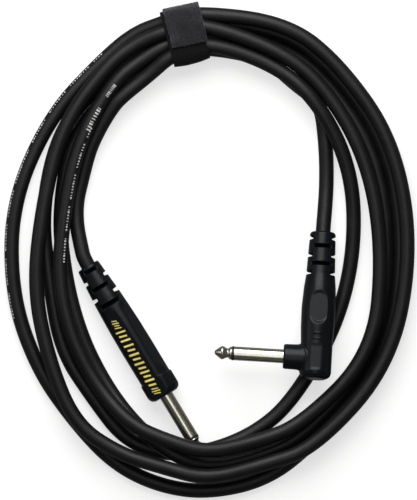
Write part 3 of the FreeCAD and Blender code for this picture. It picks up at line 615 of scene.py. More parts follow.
def pile_material(name, tone, speck, sheen):
    """Looped pile: specks of lit fibre over a dark ground, with a soft sheen."""
    material, work, place = new_material(name)
    fibre = work.noise(place, FIBRE_SCALE, 3.0, 0.7)
    tufts = work.add("ShaderNodeTexVoronoi", {"Vector": place, "Scale": TUFT_SCALE}).outputs["Distance"]
    patch = work.reckon("MULTIPLY_ADD", work.noise(place, PATCH_SCALE, 2.0), PATCH_DEPTH, -PATCH_DEPTH / 2)
    base = work.ramp(work.reckon("ADD", fibre, patch),
                     ((0.42, scaled(tone, 0.6)), (0.57, tone), (0.66, scaled(tone, speck))))
    normal = work.bump(work.reckon("SUBTRACT", fibre, tufts), 0.00015, 0.9)
    work.principled({"Base Color": base, "Roughness": 0.95, "Sheen Weight": sheen, "Sheen Roughness": 0.5,
                     "Specular IOR Level": 0.2, "Normal": normal})
    return material


def shared_material(name, make, *given, **named):
    """A material of the model, built once."""
    return bpy.data.materials.get(name) or make(name, *given, **named)


def model_settings():
    """The model's sizes and colours in this scene: cable, tie, plugs and stage."""
    scene = bpy.context.scene
    return scene.cable_sizes, scene.tie_sizes, scene.plug_sizes, scene.stage_sizes


# Steps of the line from one control point to the next, and the bevel resolution of its jacket.
LINE_STEPS, JACKET_STEPS = 12, 8


def make_line(name, points):
    """An open smooth curve of order three with the given control points."""
    data = bpy.data.curves.new(name, "CURVE")
    data.dimensions = "3D"
    data.resolution_u = LINE_STEPS
    spline = data.splines.new("NURBS")
    spline.points.add(len(points) - 1)
    weights = np.ones((len(points), 1))
    spline.points.foreach_set("co", np.hstack((points * MM, weights)).ravel())
    spline.order_u = 3
    spline.use_endpoint_u = True
    return data


def walked_line(piece):
    """Points of a curve with no bevel, in millimetres, and the length walked at each."""
    mesh = bpy.data.meshes.new_from_object(piece)
    points = np.empty(len(mesh.vertices) * 3)
    mesh.vertices.foreach_get("co", points)
    bpy.data.meshes.remove(mesh)
    points = points.reshape(-1, 3) / MM
    return points, walked_along(points)


class CABLE_OT_lay_cable(bpy.types.Operator):
    """Lay the cable from plug to plug along its five turns"""

    bl_idname = "cable.lay_cable"
    bl_label = "Cable"

    def execute(self, context):
        sizes = model_settings()[0]
        data = make_line("cable", control_points(cable_nodes()))
        piece = link("cable", data)
        context.scene["cable_line"] = np.column_stack(walked_line(piece)).ravel().tolist()
        data.bevel_depth = sizes.diameter / 2
        data.bevel_resolution = JACKET_STEPS
        data.use_fill_caps = True
        data.materials.append(shared_material("jacket_rubber", moulded_material, tuple(sizes.jacket), 0.46,
                                              grain=1400.0, depth=0.000012, lint=0.3, shine=0.235))
        finish_piece(piece, ("cable_jacket",))
        return {"FINISHED"}


def line_of(scene):
    """The cable's line as points and walked lengths, as laid by its operator."""
    table = np.array(scene["cable_line"]).reshape(-1, 4)
    return table[:, :3], table[:, 3]


# Rows of dashes along the jacket: the place each is near, how far it runs each way, where round the
# jacket it sits (degrees from the top, outwards from the coil), half its width in degrees and the
# step from dash to dash. Each dash fills a share of its step.
DASH_PLACES = (
    ((-63.0, 26.0), 33.0, -32, 7, 1.35),
    ((-53.0, 60.5), 6.5, -14, 15, 1.4),
    ((-43.5, 74.0), 3.4, -10, 13, 0.85),
    ((-92.0, 8.0), 38.0, 54, 7, 1.4),
    ((-72.5, 68.0), 34.0, 52, 6, 1.4),
)
DASH_SHARE = (0.42, 0.62, 0.34, 0.5, 0.26)
# The shares are taken in turn by this stride, and the last dashes of each group are left out.
DASH_STRIDE = 3
DASH_GROUP, DASH_BREAK = 11, 2
# How far a dash stands out of the jacket and reaches into it, and its points along and across.
DASH_RISE, DASH_DEPTH = 0.03, 0.2
DASH_ROWS, DASH_COLUMNS = 3, 5


class CABLE_OT_print_dashes(bpy.types.Operator):
    """Print plain dashes along the jacket, as thin closed shells on its surface"""

    bl_idname = "cable.print_dashes"
    bl_label = "Dashes"

    def execute(self, context):
        sizes = model_settings()[0]
        points, walked = line_of(context.scene)
        radius = sizes.diameter / 2 / MM
        shells = []
        for (x, y), reach, facing, half, step in DASH_PLACES:
            # The nearest point on the line that is also the highest there.
            away = np.hypot(points[:, 0] - x, points[:, 1] - y) - points[:, 2] / 2
            middle = walked[np.argmin(away)]
            span = math.radians(facing - half), math.radians(facing + half)
            for number in range(int(2 * reach / step)):
                if number % DASH_GROUP < DASH_GROUP - DASH_BREAK:
                    size = step * DASH_SHARE[number * DASH_STRIDE % len(DASH_SHARE)]
                    start = middle - reach + number * step
                    shells.append(dash_points(points, walked, start, size, radius, span))
        shells = np.array(shells)
        faces = [face[::-1] for face in tube_faces(*shells.shape[:3])]
        ink = shared_material("jacket_print", moulded_material, tuple(sizes.print_colour), 0.6)
        mesh = new_mesh("jacket_dashes", shells.reshape(-1, 3) * MM, faces, ink)
        finish_piece(link("jacket_dashes", mesh))
        return {"FINISHED"}


def dash_points(points, walked, start, size, radius, span):
    """One dash as a grid: a flat arc's outline carried along the line from start for its size.

    The outline goes along the jacket's outside at a small rise and back below its surface.
    """
    at = start + size * np.linspace(0, 1, DASH_ROWS)
    middle = line_at(points, walked, at)
    along = line_at(points, walked, at + 1) - line_at(points, walked, at - 1)
    along /= np.linalg.norm(along, axis=1)[:, None]
    across = np.cross(along, UP)
    # Outwards is away from the coil's middle, whichever way the line runs.
    across *= np.sign((across * middle).sum(axis=1))[:, None] / np.linalg.norm(across, axis=1)[:, None]
    over = np.cross(across, along)
    over *= np.sign(over[:, 2])[:, None]
    turns = np.linspace(*span, DASH_COLUMNS)
    turns = np.concatenate((turns, turns[::-1]))
    reach = np.repeat((radius + DASH_RISE, radius - DASH_DEPTH), DASH_COLUMNS)
    return (middle[:, None] + across[:, None] * (np.sin(turns) * reach)[None, :, None]
            + over[:, None] * (np.cos(turns) * reach)[None, :, None])


BAND_STEPS = 220
# Stages of the roll and directions that the outline round the bundle is worked out from.
ROLL_STAGES, OUTLINE_WAYS = 5, 720


def bundle_outline(offset):
    """Closed outline round the six strands in the tie, evenly spaced, its outward normals and length.

    For each direction the outline is at the strand that reaches furthest that way plus the offset,
    which makes arcs round the outer strands with straight stretches between them.
    """
    rolls = np.linspace(ROLL_LEFT, ROLL_RIGHT, ROLL_STAGES)
    centres = np.array([bundle_place(strand, roll) for strand in range(len(PASS_PLACES)) for roll in rolls])
    centres = (centres - (BUNDLE_MIDDLE, 0)) * BUNDLE_PITCH * (TIE_SQUEEZE, 1) + (0, TIE_LOW)
    ways = directions(circle(OUTLINE_WAYS))
    dense = centres[np.argmax(centres @ ways.T, axis=0)] + ways * offset
    closed = np.vstack((dense, dense[:1]))
    walked = walked_along(closed)
    outline = line_at(closed, walked, np.linspace(0, walked[-1], BAND_STEPS + 1)[:-1])
    ahead = np.roll(outline, -1, axis=0) - np.roll(outline, 1, axis=0)
    ahead /= np.linalg.norm(ahead, axis=1)[:, None]
    return outline, np.column_stack((ahead[:, 1], -ahead[:, 0])), walked[-1]


STRIP_CORNER = 0.3
STRIP_COLUMNS = 14


def strip_section(width, thickness):
    """Outline of the strip's section, along its width and its thickness, with rounded corners."""
    arc = directions(np.radians(np.arange(0, 91, 30))) * STRIP_CORNER
    middle = np.array((width / 2 - STRIP_CORNER, thickness / 2 - STRIP_CORNER))
    top_right = arc + middle
    top_left = (arc * (-1, 1) + middle * (-1, 1))[::-1]
    top = np.linspace(middle[0], -middle[0], STRIP_COLUMNS)[1:-1]
    upper = np.vstack((top_right, np.column_stack((top, np.full(len(top), thickness / 2))), top_left))
    return np.vstack((upper, -upper))


# Waves of the strip: how many go round in its edges and where they start; how many go round in its
# faces, their share of the edges' height and how fast they change across.
EDGE_WAVES, EDGE_START = 5, 1.3
FACE_WAVES, FACE_SHARE, FACE_PACE = 3, 0.6, 0.9
# How far the bulge's middle lies off the strip's middle, as a share of its half width.
BULGE_SIDE = 0.25
# No point of the strip lies lower over the table than this.
LEAST_HEIGHT = 0.02


def strip_points(outline, normals, section, shift, wave, bulge=0.0):
    """The strip's section carried along an outline in the tie's plane.

    It is shifted along the cable by its own amount at each row, and waves in and out a whole
    number of times round. Its middle bulges on the side that faces the coil's middle.
    """
    round_it = 2 * math.pi * np.linspace(0, 1, len(outline), endpoint=False)[:, None]
    across = section[None, :, 0]
    along = across + shift[:, None] + wave * np.sin(round_it * EDGE_WAVES + EDGE_START)
    lift = section[None, :, 1] + wave * FACE_SHARE * np.sin(across * FACE_PACE + round_it * FACE_WAVES)
    inwards = np.maximum(-normals[:, :1], 0) ** 2
    lift = lift + bulge * inwards * (1 - (across / across.max() + BULGE_SIDE) ** 2)
    place = outline[:, None] + normals[:, None] * lift[..., None]
    height = np.maximum(place[..., 1], LEAST_HEIGHT)
    return (TIE_CENTRE + TIE_RUN * along[..., None] + TIE_SIDE * place[..., 0, None]
            + UP * height[..., None]) * MM


TIE_CLEARANCE = 0.3
# The band's shift along the cable, and how much further it goes at its outer side and less at its
# inner side; its waves and its bulge.
BAND_SHIFT, BAND_SLANT = -0.7, 0.8
BAND_WAVE, BAND_BULGE = 0.05, 0.75
# The flap starts at this height on the outer side, and ends at a place across and above a height.
FLAP_START_HEIGHT = 4.0
FLAP_END, FLAP_END_HEIGHT = -4.4, 10
# The flap's width against the band's, its shift halfway, how much that grows from start to end, and
# its waves.
FLAP_NARROWER = 0.985
FLAP_SHIFT, FLAP_SLANT = 0.3, 0.9
FLAP_WAVE = 0.09
# Two waves make the flap's end ragged: depth in steps of the outline, pace across and start.
RAGGED_WAVES = ((0.25, 1.7, 0), (0.2, 4.1, 1))


class CABLE_OT_wrap_tie(bpy.types.Operator):
    """Wrap the tie: one full turn of strip, its closing flap over the top, and its loose pile"""

    bl_idname = "cable.wrap_tie"
    bl_label = "Tie"

    def execute(self, context):
        sizes = model_settings()[1]
        cloth = shared_material("tie_pile", pile_material, tuple(sizes.cloth), 4.5, 0.22)
        # Painted shade: the band wears the same pile painted far darker and with less sheen, as the wrapped
        # under-layer lies in shade.
        shaded_cloth = shared_material("tie_back", pile_material, scaled(sizes.cloth, 0.1), 1.6, 0.02)
        width, thick = sizes.width / MM, sizes.thickness / MM
        offset = CABLE_RADIUS + TIE_CLEARANCE + thick / 2
        outline, normals, around = bundle_outline(offset)
        shift = BAND_SHIFT - BAND_SLANT * np.cos(circle(BAND_STEPS))
        band = strip_points(outline, normals, strip_section(width, thick), shift, BAND_WAVE, BAND_BULGE)
        mesh = grid_mesh("tie_strap", band, shaded_cloth, looped=True)
        self.lay(mesh, "tie_strap", "tie_band", (width * MM, around * MM))
        over, ways, around = bundle_outline(offset + thick)
        begin = np.argmin(np.hypot(over[:, 0] - over[:, 0].max(), over[:, 1] - FLAP_START_HEIGHT))
        order = np.roll(np.arange(len(over)), -begin)
        top = order[: np.argmax((over[order, 0] < FLAP_END) & (over[order, 1] > FLAP_END_HEIGHT))]
        section = strip_section(width * FLAP_NARROWER, thick)
        shift = FLAP_SHIFT + FLAP_SLANT * np.linspace(-0.5, 0.5, len(top))
        flap = strip_points(over[top], ways[top], section, shift, FLAP_WAVE)
        ragged = sum(depth * np.sin(section[:, 0] * pace + start) for depth, pace, start in RAGGED_WAVES)
        flap[-1] += (flap[-1] - flap[-3]) * ragged[:, None]
        share = len(top) / BAND_STEPS
        mesh = grid_mesh("tie_end", flap, cloth)
        self.lay(mesh, "tie_end", "tie_flap", (width * MM, around * share * MM))
        mesh = new_mesh("tie_loops", *pile_loops(over[top], ways[top], width, thick, sizes.fibres), cloth)
        mesh.shade_smooth()
        finish_piece(link("tie_loops", mesh))
        return {"FINISHED"}

    def lay(self, mesh, name, node, flat):
        """One layer of the strip as a smooth piece, in place of its solid."""
        mesh.shade_smooth()
        piece = link(name, mesh)
        finish_piece(piece, (node,))


FIBRE_SIDES = 3
FIBRE_STEPS = 5
FIBRE_RADIUS = 0.035
FIBRE_SEED = 11
# How far each way across the flap fibres stand, as a share of its width, and the rows left free at
# its start and its end.
FIBRE_EDGE, FIBRE_ROWS_FREE = 0.49, (3, 2)
# How deep in the flap a fibre starts, and the least and the greatest span and height.
FIBRE_SINK = 0.04
FIBRE_SPANS, FIBRE_HEIGHTS = (0.25, 0.7), (0.12, 0.42)


def pile_loops(outline, normals, width, thick, count):
    """Many tiny arches of fibre standing on the flap's outside: their points in metres and faces.

    Each is a half ellipse over a short base, with a three-sided section; its place, heading, size
    and height come from a seeded draw.
    """
    draw = np.random.default_rng(FIBRE_SEED)
    rows = len(outline)
    row = draw.integers(FIBRE_ROWS_FREE[0], rows - FIBRE_ROWS_FREE[1], count)
    along = draw.uniform(-FIBRE_EDGE, FIBRE_EDGE, count) * width
    along = along + FLAP_SHIFT + FLAP_SLANT * (row / rows - 0.5)
    base = outline[row] + normals[row] * (thick / 2 - FIBRE_SINK)
    centre = TIE_CENTRE + TIE_RUN * along[:, None] + TIE_SIDE * base[:, :1] + UP * base[:, 1:]
    normal = TIE_SIDE * normals[row][:, :1] + UP * normals[row][:, 1:]
    turn = draw.uniform(0, 2 * math.pi, count)[:, None]
    heading = TIE_RUN * np.cos(turn) + np.cross(normal, TIE_RUN) * np.sin(turn)
    size = draw.uniform(*FIBRE_SPANS, count)[:, None, None]
    height = draw.uniform(*FIBRE_HEIGHTS, count)[:, None, None]
    arch = np.linspace(0, math.pi, FIBRE_STEPS)[None, :, None]
    spine = (centre[:, None] - heading[:, None] * np.cos(arch) * size / 2
             + normal[:, None] * np.sin(arch) * height)
    side = np.cross(heading, normal)
    outwards = heading[:, None] * -np.cos(arch) + normal[:, None] * np.sin(arch)
    corner = directions(circle(FIBRE_SIDES)) * FIBRE_RADIUS
    points = (spine[:, :, None] + side[:, None, None] * corner[None, None, :, :1]
              + outwards[:, :, None] * corner[None, None, :, 1:])
    return points.reshape(-1, 3) * MM, tube_faces(count, FIBRE_STEPS, FIBRE_SIDES)


def smooth_step(value):
    """0 up to 0, 1 from 1 on, and between them three squares less two cubes of the value."""
    value = np.clip(value, 0, 1)
    return value * value * (3 - 2 * value)


def window(value, span, fade):
    """1 inside a span and 0 outside, with a soft change at both ends."""
    return smooth_step((value - span[0]) / fade) * smooth_step((span[1] - value) / fade)


ROUNDING_STEPS = 15


def rounded(corners, rows, blur=0.35):
    """Radius at each row from (height, radius) corners, with corners rounded by a running mean.

    The mean is taken over the blur both ways, weighted by a cosine that ends at 0.
    """
    heights, radii = np.array(corners).T
    shifts = np.linspace(-blur, blur, ROUNDING_STEPS)
    at = np.clip(rows[:, None] + shifts, heights[0], heights[-1])
    weights = np.cos(shifts / blur * math.pi / 2)
    return (np.interp(at, heights, radii) * weights).sum(axis=1) / weights.sum()


def rows_for(spans):
    """Heights with their own spacing in each span of (end, spacing)."""
    found, start = [], 0.0
    for end, spacing in spans:
        found.append(np.linspace(start, end, max(2, int((end - start) / spacing)), endpoint=False))
        start = end
    return np.concatenate(found + [(start,)])


# Soft edge of the thumb pad, and the cosine down to which a turn faces it.
PAD_EDGE, PAD_FACING = 0.7, 0.2


def cut_pad(radius, turns, rows, facing, place, size, level):
    """Cut a thumb pad with round ends: inside it the radius falls to the level over its cosine."""
    run, width = size
    lean = np.cos(turns[None, :] - facing)
    across = radius * np.sin(turns[None, :] - facing)
    beyond = np.abs(rows[:, None] - place) - (run - width) / 2
    outside = np.hypot(np.maximum(beyond, 0), across) - width / 2
    flat = np.where(lean > PAD_FACING, level / np.maximum(lean, PAD_FACING), radius)
    share = smooth_step(-outside / PAD_EDGE + 0.5) * (lean > PAD_FACING)
    return radius - share * np.maximum(radius - flat, 0)


NOTCH_WIDTH, NOTCH_FLOOR, NOTCH_WALL = 1.6, 4.25, 0.3
# The depth from which a slot's painted shade is full, and the least cosine that a floor is worked with.
NOTCH_SHADE_DEPTH, NOTCH_FACING = 0.6, 0.05


def cut_notches(radius, turns, rows, places, quarter):
    """Cut pairs of slots across a strain relief, every second pair turned by a quarter.

    Inside a slot the surface is the plane at the floor: its distance over the cosine of the turn.
    Also gives how deep each point lies in a slot, from 0 to 1, which sets the shade painted there.
    """
    hollow = np.zeros_like(radius)
    for index, middle in enumerate(places):
        inside = smooth_step((NOTCH_WIDTH / 2 - np.abs(rows - middle)) / NOTCH_WALL + 0.5)[:, None]
        lean = np.abs(np.cos(turns + math.pi / 2 * ((index + quarter) % 2)))[None, :]
        floor = NOTCH_FLOOR / np.maximum(lean, NOTCH_FACING)
        depth = inside * np.maximum(radius - floor, 0)
        # The share of shade painted at each point grows with its depth in the slot.
        hollow = np.maximum(hollow, np.clip(depth / NOTCH_SHADE_DEPTH, 0, 1))
        radius = radius - depth
    return radius, hollow


# How wide the joint between a broad flat and the round is, the share of it that comes off the depth
# of the cut, the cosine down to which a turn faces the flat, and a radius past every surface.
FLAT_BLEND, FLAT_LIFT, FLAT_FACING, FAR_OUT = 0.16, 0.12, 0.3, 100.0


def plane_cut(radius, turns, rows, facing, level, span, fade):
    """Cut a broad flat: the radius falls to the level over its cosine, softly at both ends.

    The two surfaces join with a soft lesser value, so that the flat's long edges are round.
    """
    lean = np.cos(turns - facing)[None, :]
    excess = radius - np.where(lean > FLAT_FACING, level / np.maximum(lean, FLAT_FACING), FAR_OUT)
    softened = (excess + np.sqrt(excess ** 2 + FLAT_BLEND ** 2)) / 2 - FLAT_BLEND * FLAT_LIFT
    share = window(rows, span, fade)[:, None]
    return radius - share * np.where(lean > FLAT_FACING, np.maximum(softened, 0), 0)


def turned(radius, turns, rows):
    """Grid of a body: at each row and turn the radius times the turn's direction, at the row's height."""
    flat = radius[..., None] * directions(turns)
    return np.concatenate((flat, np.broadcast_to(rows[:, None, None], (*radius.shape, 1))), axis=2)


def lathe(section, turns):
    """Grid of a turned piece: a circle for each (height, radius) row of its section."""
    heights, radii = np.array(section).T
    return turned(np.repeat(radii[:, None], len(turns), axis=1), turns, heights)


def moulded_points(radius, turns, rows, start, end):
    """Grid of a moulded body between the turned rings that close its start and its end."""
    return np.concatenate((lathe(start, turns), turned(radius, turns, rows), lathe(end, turns)))


# Corners of the moulded bodies' half sections as (height, radius), and the spacing of their rows as
# (end, spacing).
STRAIGHT_SECTION = (
    (0.0, 4.9), (0.55, STRAIGHT_RELIEF[0]), (STRAIGHT_RELIEF[1], STRAIGHT_NECK), (24.0, 7.0), (33.0, 7.32),
    (44.0, 7.45), (60.15, 7.4), (60.45, STRAIGHT_COLLAR[0]), (66.8, STRAIGHT_COLLAR[0]), (68.1, 7.55),
    (68.9, 6.9), (69.5, 5.6),
)
STRAIGHT_ROWS = ((17.2, 0.17), (59.8, 0.6), (60.8, 0.12), (66.4, 0.5), (STRAIGHT_LENGTH, 0.16))
ANGLE_SECTION = (
    (0.0, 5.3), (0.7, ANGLE_RELIEF[0]), (ANGLE_RELIEF[1], STRAIGHT_NECK), (26.0, 7.35), (35.0, 7.9),
    (44.0, 7.75), (51.0, HEAD_RADIUS), (65.2, HEAD_RADIUS), (66.6, 6.9), (67.4, 6.1), (68.0, 4.75),
)
ANGLE_ROWS = ((20.6, 0.17), (46.6, 0.5), (51.8, 0.16), (64.6, 0.5), (ANGLE_LENGTH, 0.16))
NOSE_SECTION = ((0.0, 6.0), (14.3, 5.72), (14.8, 5.45), (NOSE_REACH, 5.0))
NOSE_ROWS = ((4.0, 1.0), (10.0, 0.3), (13.8, 0.5), (NOSE_REACH, 0.1))
# Rings (height, radius) that close both bodies and the nose at their ends.
CABLE_END = ((0.4, 0.5), (0.3, 3.3), (0.0, 3.6))
STRAIGHT_FACE = ((69.5, 3.72), (69.3, 3.6), (69.3, 0.5))
ANGLE_HEAD = ((68.0, 3.0), (68.0, 0.5))
NOSE_ROOT = ((0.0, 0.5),)
NOSE_FACE = ((NOSE_REACH, 3.72), (14.8, 3.6), (14.8, 0.5))
# Middles of the slots across each strain relief; those of the straight plug start with a top slot.
STRAIGHT_NOTCHES = (2.6, 7.0, 11.4, 15.7, 20.0)
ANGLE_NOTCHES = (2.75, 6.85, 10.95, 15.05, 19.15)
# Where the broad flats of the straight body face, in degrees from its top, how far they are out and
# where they end; the first one runs on over the collar. Both start and fade out alike.
STRAIGHT_FLATS = ((20, 6.5, 90.0), (-57, 6.35, 58.5))
FLATS_START, FLATS_FADE = 21.0, 5.0
# Fine ribs on the two sides of the collar: how many would go round and their height; where they start
# and end; the cosine from which a turn is at the side; the radius over which they show. The last three
# each have their own fade.
COLLAR_RIBS, RIB_HEIGHT = 56, 0.16
RIB_SPAN, RIB_FADE = (61.0, 66.6), 0.5
RIB_SIDE, RIB_SIDE_FADE = 0.45, 0.2
RIB_RADIUS, RIB_RADIUS_FADE = 7.5, 0.3
# Angles over which an edge stays crisp, on the moulded bodies and on the pins.
MOULDED_CREASE, TURNED_CREASE = 60, 40


def plug_rubber():
    """The material of both moulded bodies."""
    return shared_material("plug_rubber", moulded_material, tuple(model_settings()[2].rubber), 0.31,
                           grain=1700.0, depth=0.000014, lint=0.1, shine=0.155, hollows=True)


def body_grid(section, spans):
    """Turns, rows and the radius at each of them, of a body turned from its half section."""
    turns = circle(model_settings()[2].turns)
    rows = rows_for(spans)
    return turns, rows, np.repeat(rounded(section, rows)[:, None], len(turns), axis=1)


def collar_ribs(radius, turns, rows):
    """How deep the grooves between the collar's ribs are: a cosine of the turn, on its two sides."""
    sides = smooth_step((np.abs(np.cos(turns)) - RIB_SIDE) / RIB_SIDE_FADE)[None, :]
    collar = window(rows, RIB_SPAN, RIB_FADE)[:, None]
    whole = smooth_step((radius - RIB_RADIUS) / RIB_RADIUS_FADE)
    return RIB_HEIGHT * sides * collar * whole * (0.5 + 0.5 * np.cos(turns * COLLAR_RIBS))[None, :]


class CABLE_OT_mould_straight(bpy.types.Operator):
    """Mould the straight plug's body: its radius is a function of height and turn"""

    bl_idname = "cable.mould_straight"
    bl_label = "Straight body"

    def execute(self, context):
        turns, rows, radius = body_grid(STRAIGHT_SECTION, STRAIGHT_ROWS)
        for angle, level, end in STRAIGHT_FLATS:
            facing = math.radians(90 + angle)
            radius = plane_cut(radius, turns, rows, facing, level, (FLATS_START, end), FLATS_FADE)
        radius, hollow = cut_notches(radius, turns, rows, STRAIGHT_NOTCHES, 1)
        radius = radius - collar_ribs(radius, turns, rows)
        grid = moulded_points(radius, turns, rows, CABLE_END, STRAIGHT_FACE)
        surface("straight_body_moulded", STRAIGHT_SEAT.put(grid), plug_rubber(), MOULDED_CREASE,
                ("straight_body",), (hollow, len(CABLE_END)))
        return {"FINISHED"}


# The thumb pad: its place, its length and width, and how far out it lies. The flat on the head: how
# far out, from where to where, and its fade.
PAD_PLACE, PAD_SIZE, PAD_LEVEL = 35.5, (14.4, 8.4), 6.7
HEAD_FLAT_LEVEL, HEAD_FLAT_SPAN, HEAD_FLAT_FADE = 6.95, (52.6, 64.6), 0.8
# Two ridges across the top: their places, height, half width along and across, and the fades of both.
RIDGE_PLACES = (47.6, 50.2)
RIDGE_HEIGHT, RIDGE_HALF, RIDGE_FADE = 0.38, (0.55, 2.0), (0.35, 0.5)
# The nose meets the body in a fillet this high that dies out over this distance.
NOSE_FILLET, NOSE_FADE = 0.55, 0.6
# The height up to which the nose is inside the body, and the blur that rounds its corners.
NOSE_INSIDE, NOSE_BLUR = 3, 0.2


class CABLE_OT_mould_angle(bpy.types.Operator):
    """Mould the right-angle plug's body and its nose, which widens where it meets the body"""

    bl_idname = "cable.mould_angle"
    bl_label = "Right-angle body"

    def execute(self, context):
        turns, rows, radius = body_grid(ANGLE_SECTION, ANGLE_ROWS)
        radius, hollow = cut_notches(radius, turns, rows, ANGLE_NOTCHES, 0)
        top = math.pi / 2
        radius = cut_pad(radius, turns, rows, top, PAD_PLACE, PAD_SIZE, PAD_LEVEL)
        radius = plane_cut(radius, turns, rows, top, HEAD_FLAT_LEVEL, HEAD_FLAT_SPAN, HEAD_FLAT_FADE)
        for place in RIDGE_PLACES:
            bar = smooth_step((RIDGE_HALF[0] - np.abs(rows - place)) / RIDGE_FADE[0])[:, None]
            across = np.abs(radius * np.cos(turns)[None, :])
            side = smooth_step((RIDGE_HALF[1] - across) / RIDGE_FADE[1]) * (np.sin(turns) > 0)[None, :]
            radius = radius + RIDGE_HEIGHT * bar * side
        grid = moulded_points(radius, turns, rows, CABLE_END, ANGLE_HEAD)
        surface("angle_body_moulded", ANGLE_SEAT.put(grid), plug_rubber(), MOULDED_CREASE,
                ("angle_body",), (hollow, len(CABLE_END)))
        surface("angle_nose_moulded", NOSE_SEAT.put(nose_points(turns)), plug_rubber(),
                MOULDED_CREASE)
        return {"FINISHED"}


def nose_points(turns):
    """The nose's grid: a slight cone, rounded at its face, with a fillet over the body's round.

    The fillet falls off exponentially with the height over the body's round surface.
    """
    rows = rows_for(NOSE_ROWS)
    base = rounded(NOSE_SECTION, rows, NOSE_BLUR)[:, None]
    across = base * np.abs(np.cos(turns))[None, :]
    shell = np.sqrt(np.maximum(HEAD_RADIUS ** 2 - across ** 2, 0.0))
    above = np.maximum(rows[:, None] - shell, 0)
    radius = base + NOSE_FILLET * np.exp(-above / NOSE_FADE) * (rows[:, None] > NOSE_INSIDE)
    return moulded_points(radius, turns, rows, NOSE_ROOT, NOSE_FACE)


# The pins, from the face of each plug: lengths and radii.
PIN_STEPS = 96
FLANGE_BACK, FLANGE_THICKNESS, FLANGE_RADIUS = 7.5, 2.0, 4.75
SHOULDER_RADIUS, SHOULDER_STEP = 3.7, 0.02
SLEEVE_LENGTH, SLEEVE_BORE, SLEEVE_EDGE = 22.7, 2.1, 0.12
RING_LENGTH, RING_BORE, RING_PROUD = 1.0, 1.4, 0.1
ROD_BACK, ROD_RADIUS, ROD_POLE = FLANGE_BACK + 1.8, 1.3, 0.4
# Keeps the rod's last ring just off the tip's root.
HAIR = 0.001
# Corners of the tip from its flat root: (height, radius).
TIP_SECTION = (
    (0.0, 2.85), (0.12, 3.0), (0.7, 3.0), (1.0, 2.6), (1.8, 2.05), (2.5, 2.25), (3.5, 2.85), (4.3, 3.12),
    (4.9, 2.95), (6.1, 2.1), (7.0, 1.4), (7.6, 0.95), (7.86, 0.6), (7.9, 0.3),
)
TIP_ROWS, TIP_BLUR = 60, 0.25


def pin_sections(reach):
    """Half sections (height, radius) of the sleeve, the tip with its rod, and the ring."""
    front = FLANGE_THICKNESS - FLANGE_BACK
    sleeve = ((-FLANGE_BACK, SLEEVE_BORE), (-FLANGE_BACK, FLANGE_RADIUS), (front, FLANGE_RADIUS),
              (front, SHOULDER_RADIUS), (0.0, SHOULDER_RADIUS), (SHOULDER_STEP, reach),
              (SLEEVE_LENGTH - SLEEVE_EDGE, reach), (SLEEVE_LENGTH, reach - SLEEVE_EDGE),
              (SLEEVE_LENGTH, SLEEVE_BORE))
    root = SLEEVE_LENGTH + RING_LENGTH
    rod = ((-ROD_BACK, ROD_POLE), (-ROD_BACK, ROD_RADIUS), (root - HAIR, ROD_RADIUS))
    heights = np.linspace(0, TIP_SECTION[-1][0], TIP_ROWS)
    tip = np.column_stack((root + heights, rounded(TIP_SECTION, heights, TIP_BLUR)))
    ring = ((0.0, SLEEVE_BORE), (0.0, reach), (RING_PROUD, reach + RING_PROUD),
            (RING_LENGTH - RING_PROUD, reach + RING_PROUD), (RING_LENGTH, reach - RING_PROUD),
            (RING_LENGTH, RING_BORE))
    return sleeve, np.vstack((rod, tip)), ring


class CABLE_OT_turn_pins(bpy.types.Operator):
    """Turn both pins: sleeve with flange, tip with rod, and the black ring between them"""

    bl_idname = "cable.turn_pins"
    bl_label = "Pins"

    def execute(self, context):
        sizes = model_settings()[2]
        turns = circle(PIN_STEPS)
        nickel = shared_material("pin_nickel", metal_material, tuple(sizes.nickel), 0.19)
        black = shared_material("ring_black", moulded_material, (0.012, 0.012, 0.012), 0.35)
        sleeve, tip, ring = pin_sections(sizes.sleeve_radius / MM)
        for plug, pin in (("straight", STRAIGHT_PIN), ("angle", ANGLE_PIN)):
            for name, node, seat, section, finish, slot in (
                    ("sleeve", "sleeve", pin, sleeve, nickel, "pin_metal"),
                    ("tip", "tip", pin, tip, nickel, "pin_metal"),
                    ("ring", "insulator", pin.ahead(SLEEVE_LENGTH), ring, black, "insulator")):
                surface(f"{plug}_{name}_turned", seat.put(lathe(section, turns)), finish,
                        TURNED_CREASE, (f"{plug}_{node}",))
        return {"FINISHED"}


# Plain bars on the straight plug's top flat: (place along it, width, reach each way across).
BARS = (
    (28.2, 0.5, 1.2), (29.4, 0.5, 1.5), (30.6, 0.5, 1.2), (31.8, 0.5, 1.5), (34.0, 0.8, 2.4),
    (36.2, 0.8, 1.9), (38.4, 0.9, 2.4), (41.2, 0.9, 2.4), (43.6, 0.9, 1.8), (46.0, 1.0, 2.4),
    (48.4, 0.9, 1.8), (50.8, 1.0, 2.4), (53.2, 0.9, 1.8), (55.4, 0.9, 2.3), (57.6, 0.9, 1.7),
    (59.8, 1.0, 2.3), (62.2, 0.9, 1.8), (64.3, 0.5, 1.6), (65.5, 0.5, 2.0), (66.7, 0.5, 1.6),
)
# How far out the bars' undersides lie, their thickness, slant along and shift across.
BAR_LEVEL, BAR_THICKNESS = 6.47, 0.09
BAR_SLANT, BAR_SHIFT = 0.5, -0.6
# Corners of a box by a sign across, a step over and a sign along, and its sides facing outwards.
BOX_CORNERS = np.array([(x, y, z) for x in (-1, 1) for y in (0, 1) for z in (-1, 1)], float)
BOX_SIDES = np.array(((0, 1, 3, 2), (4, 6, 7, 5), (0, 4, 5, 1), (2, 3, 7, 6), (0, 2, 6, 4), (1, 5, 7, 3)))


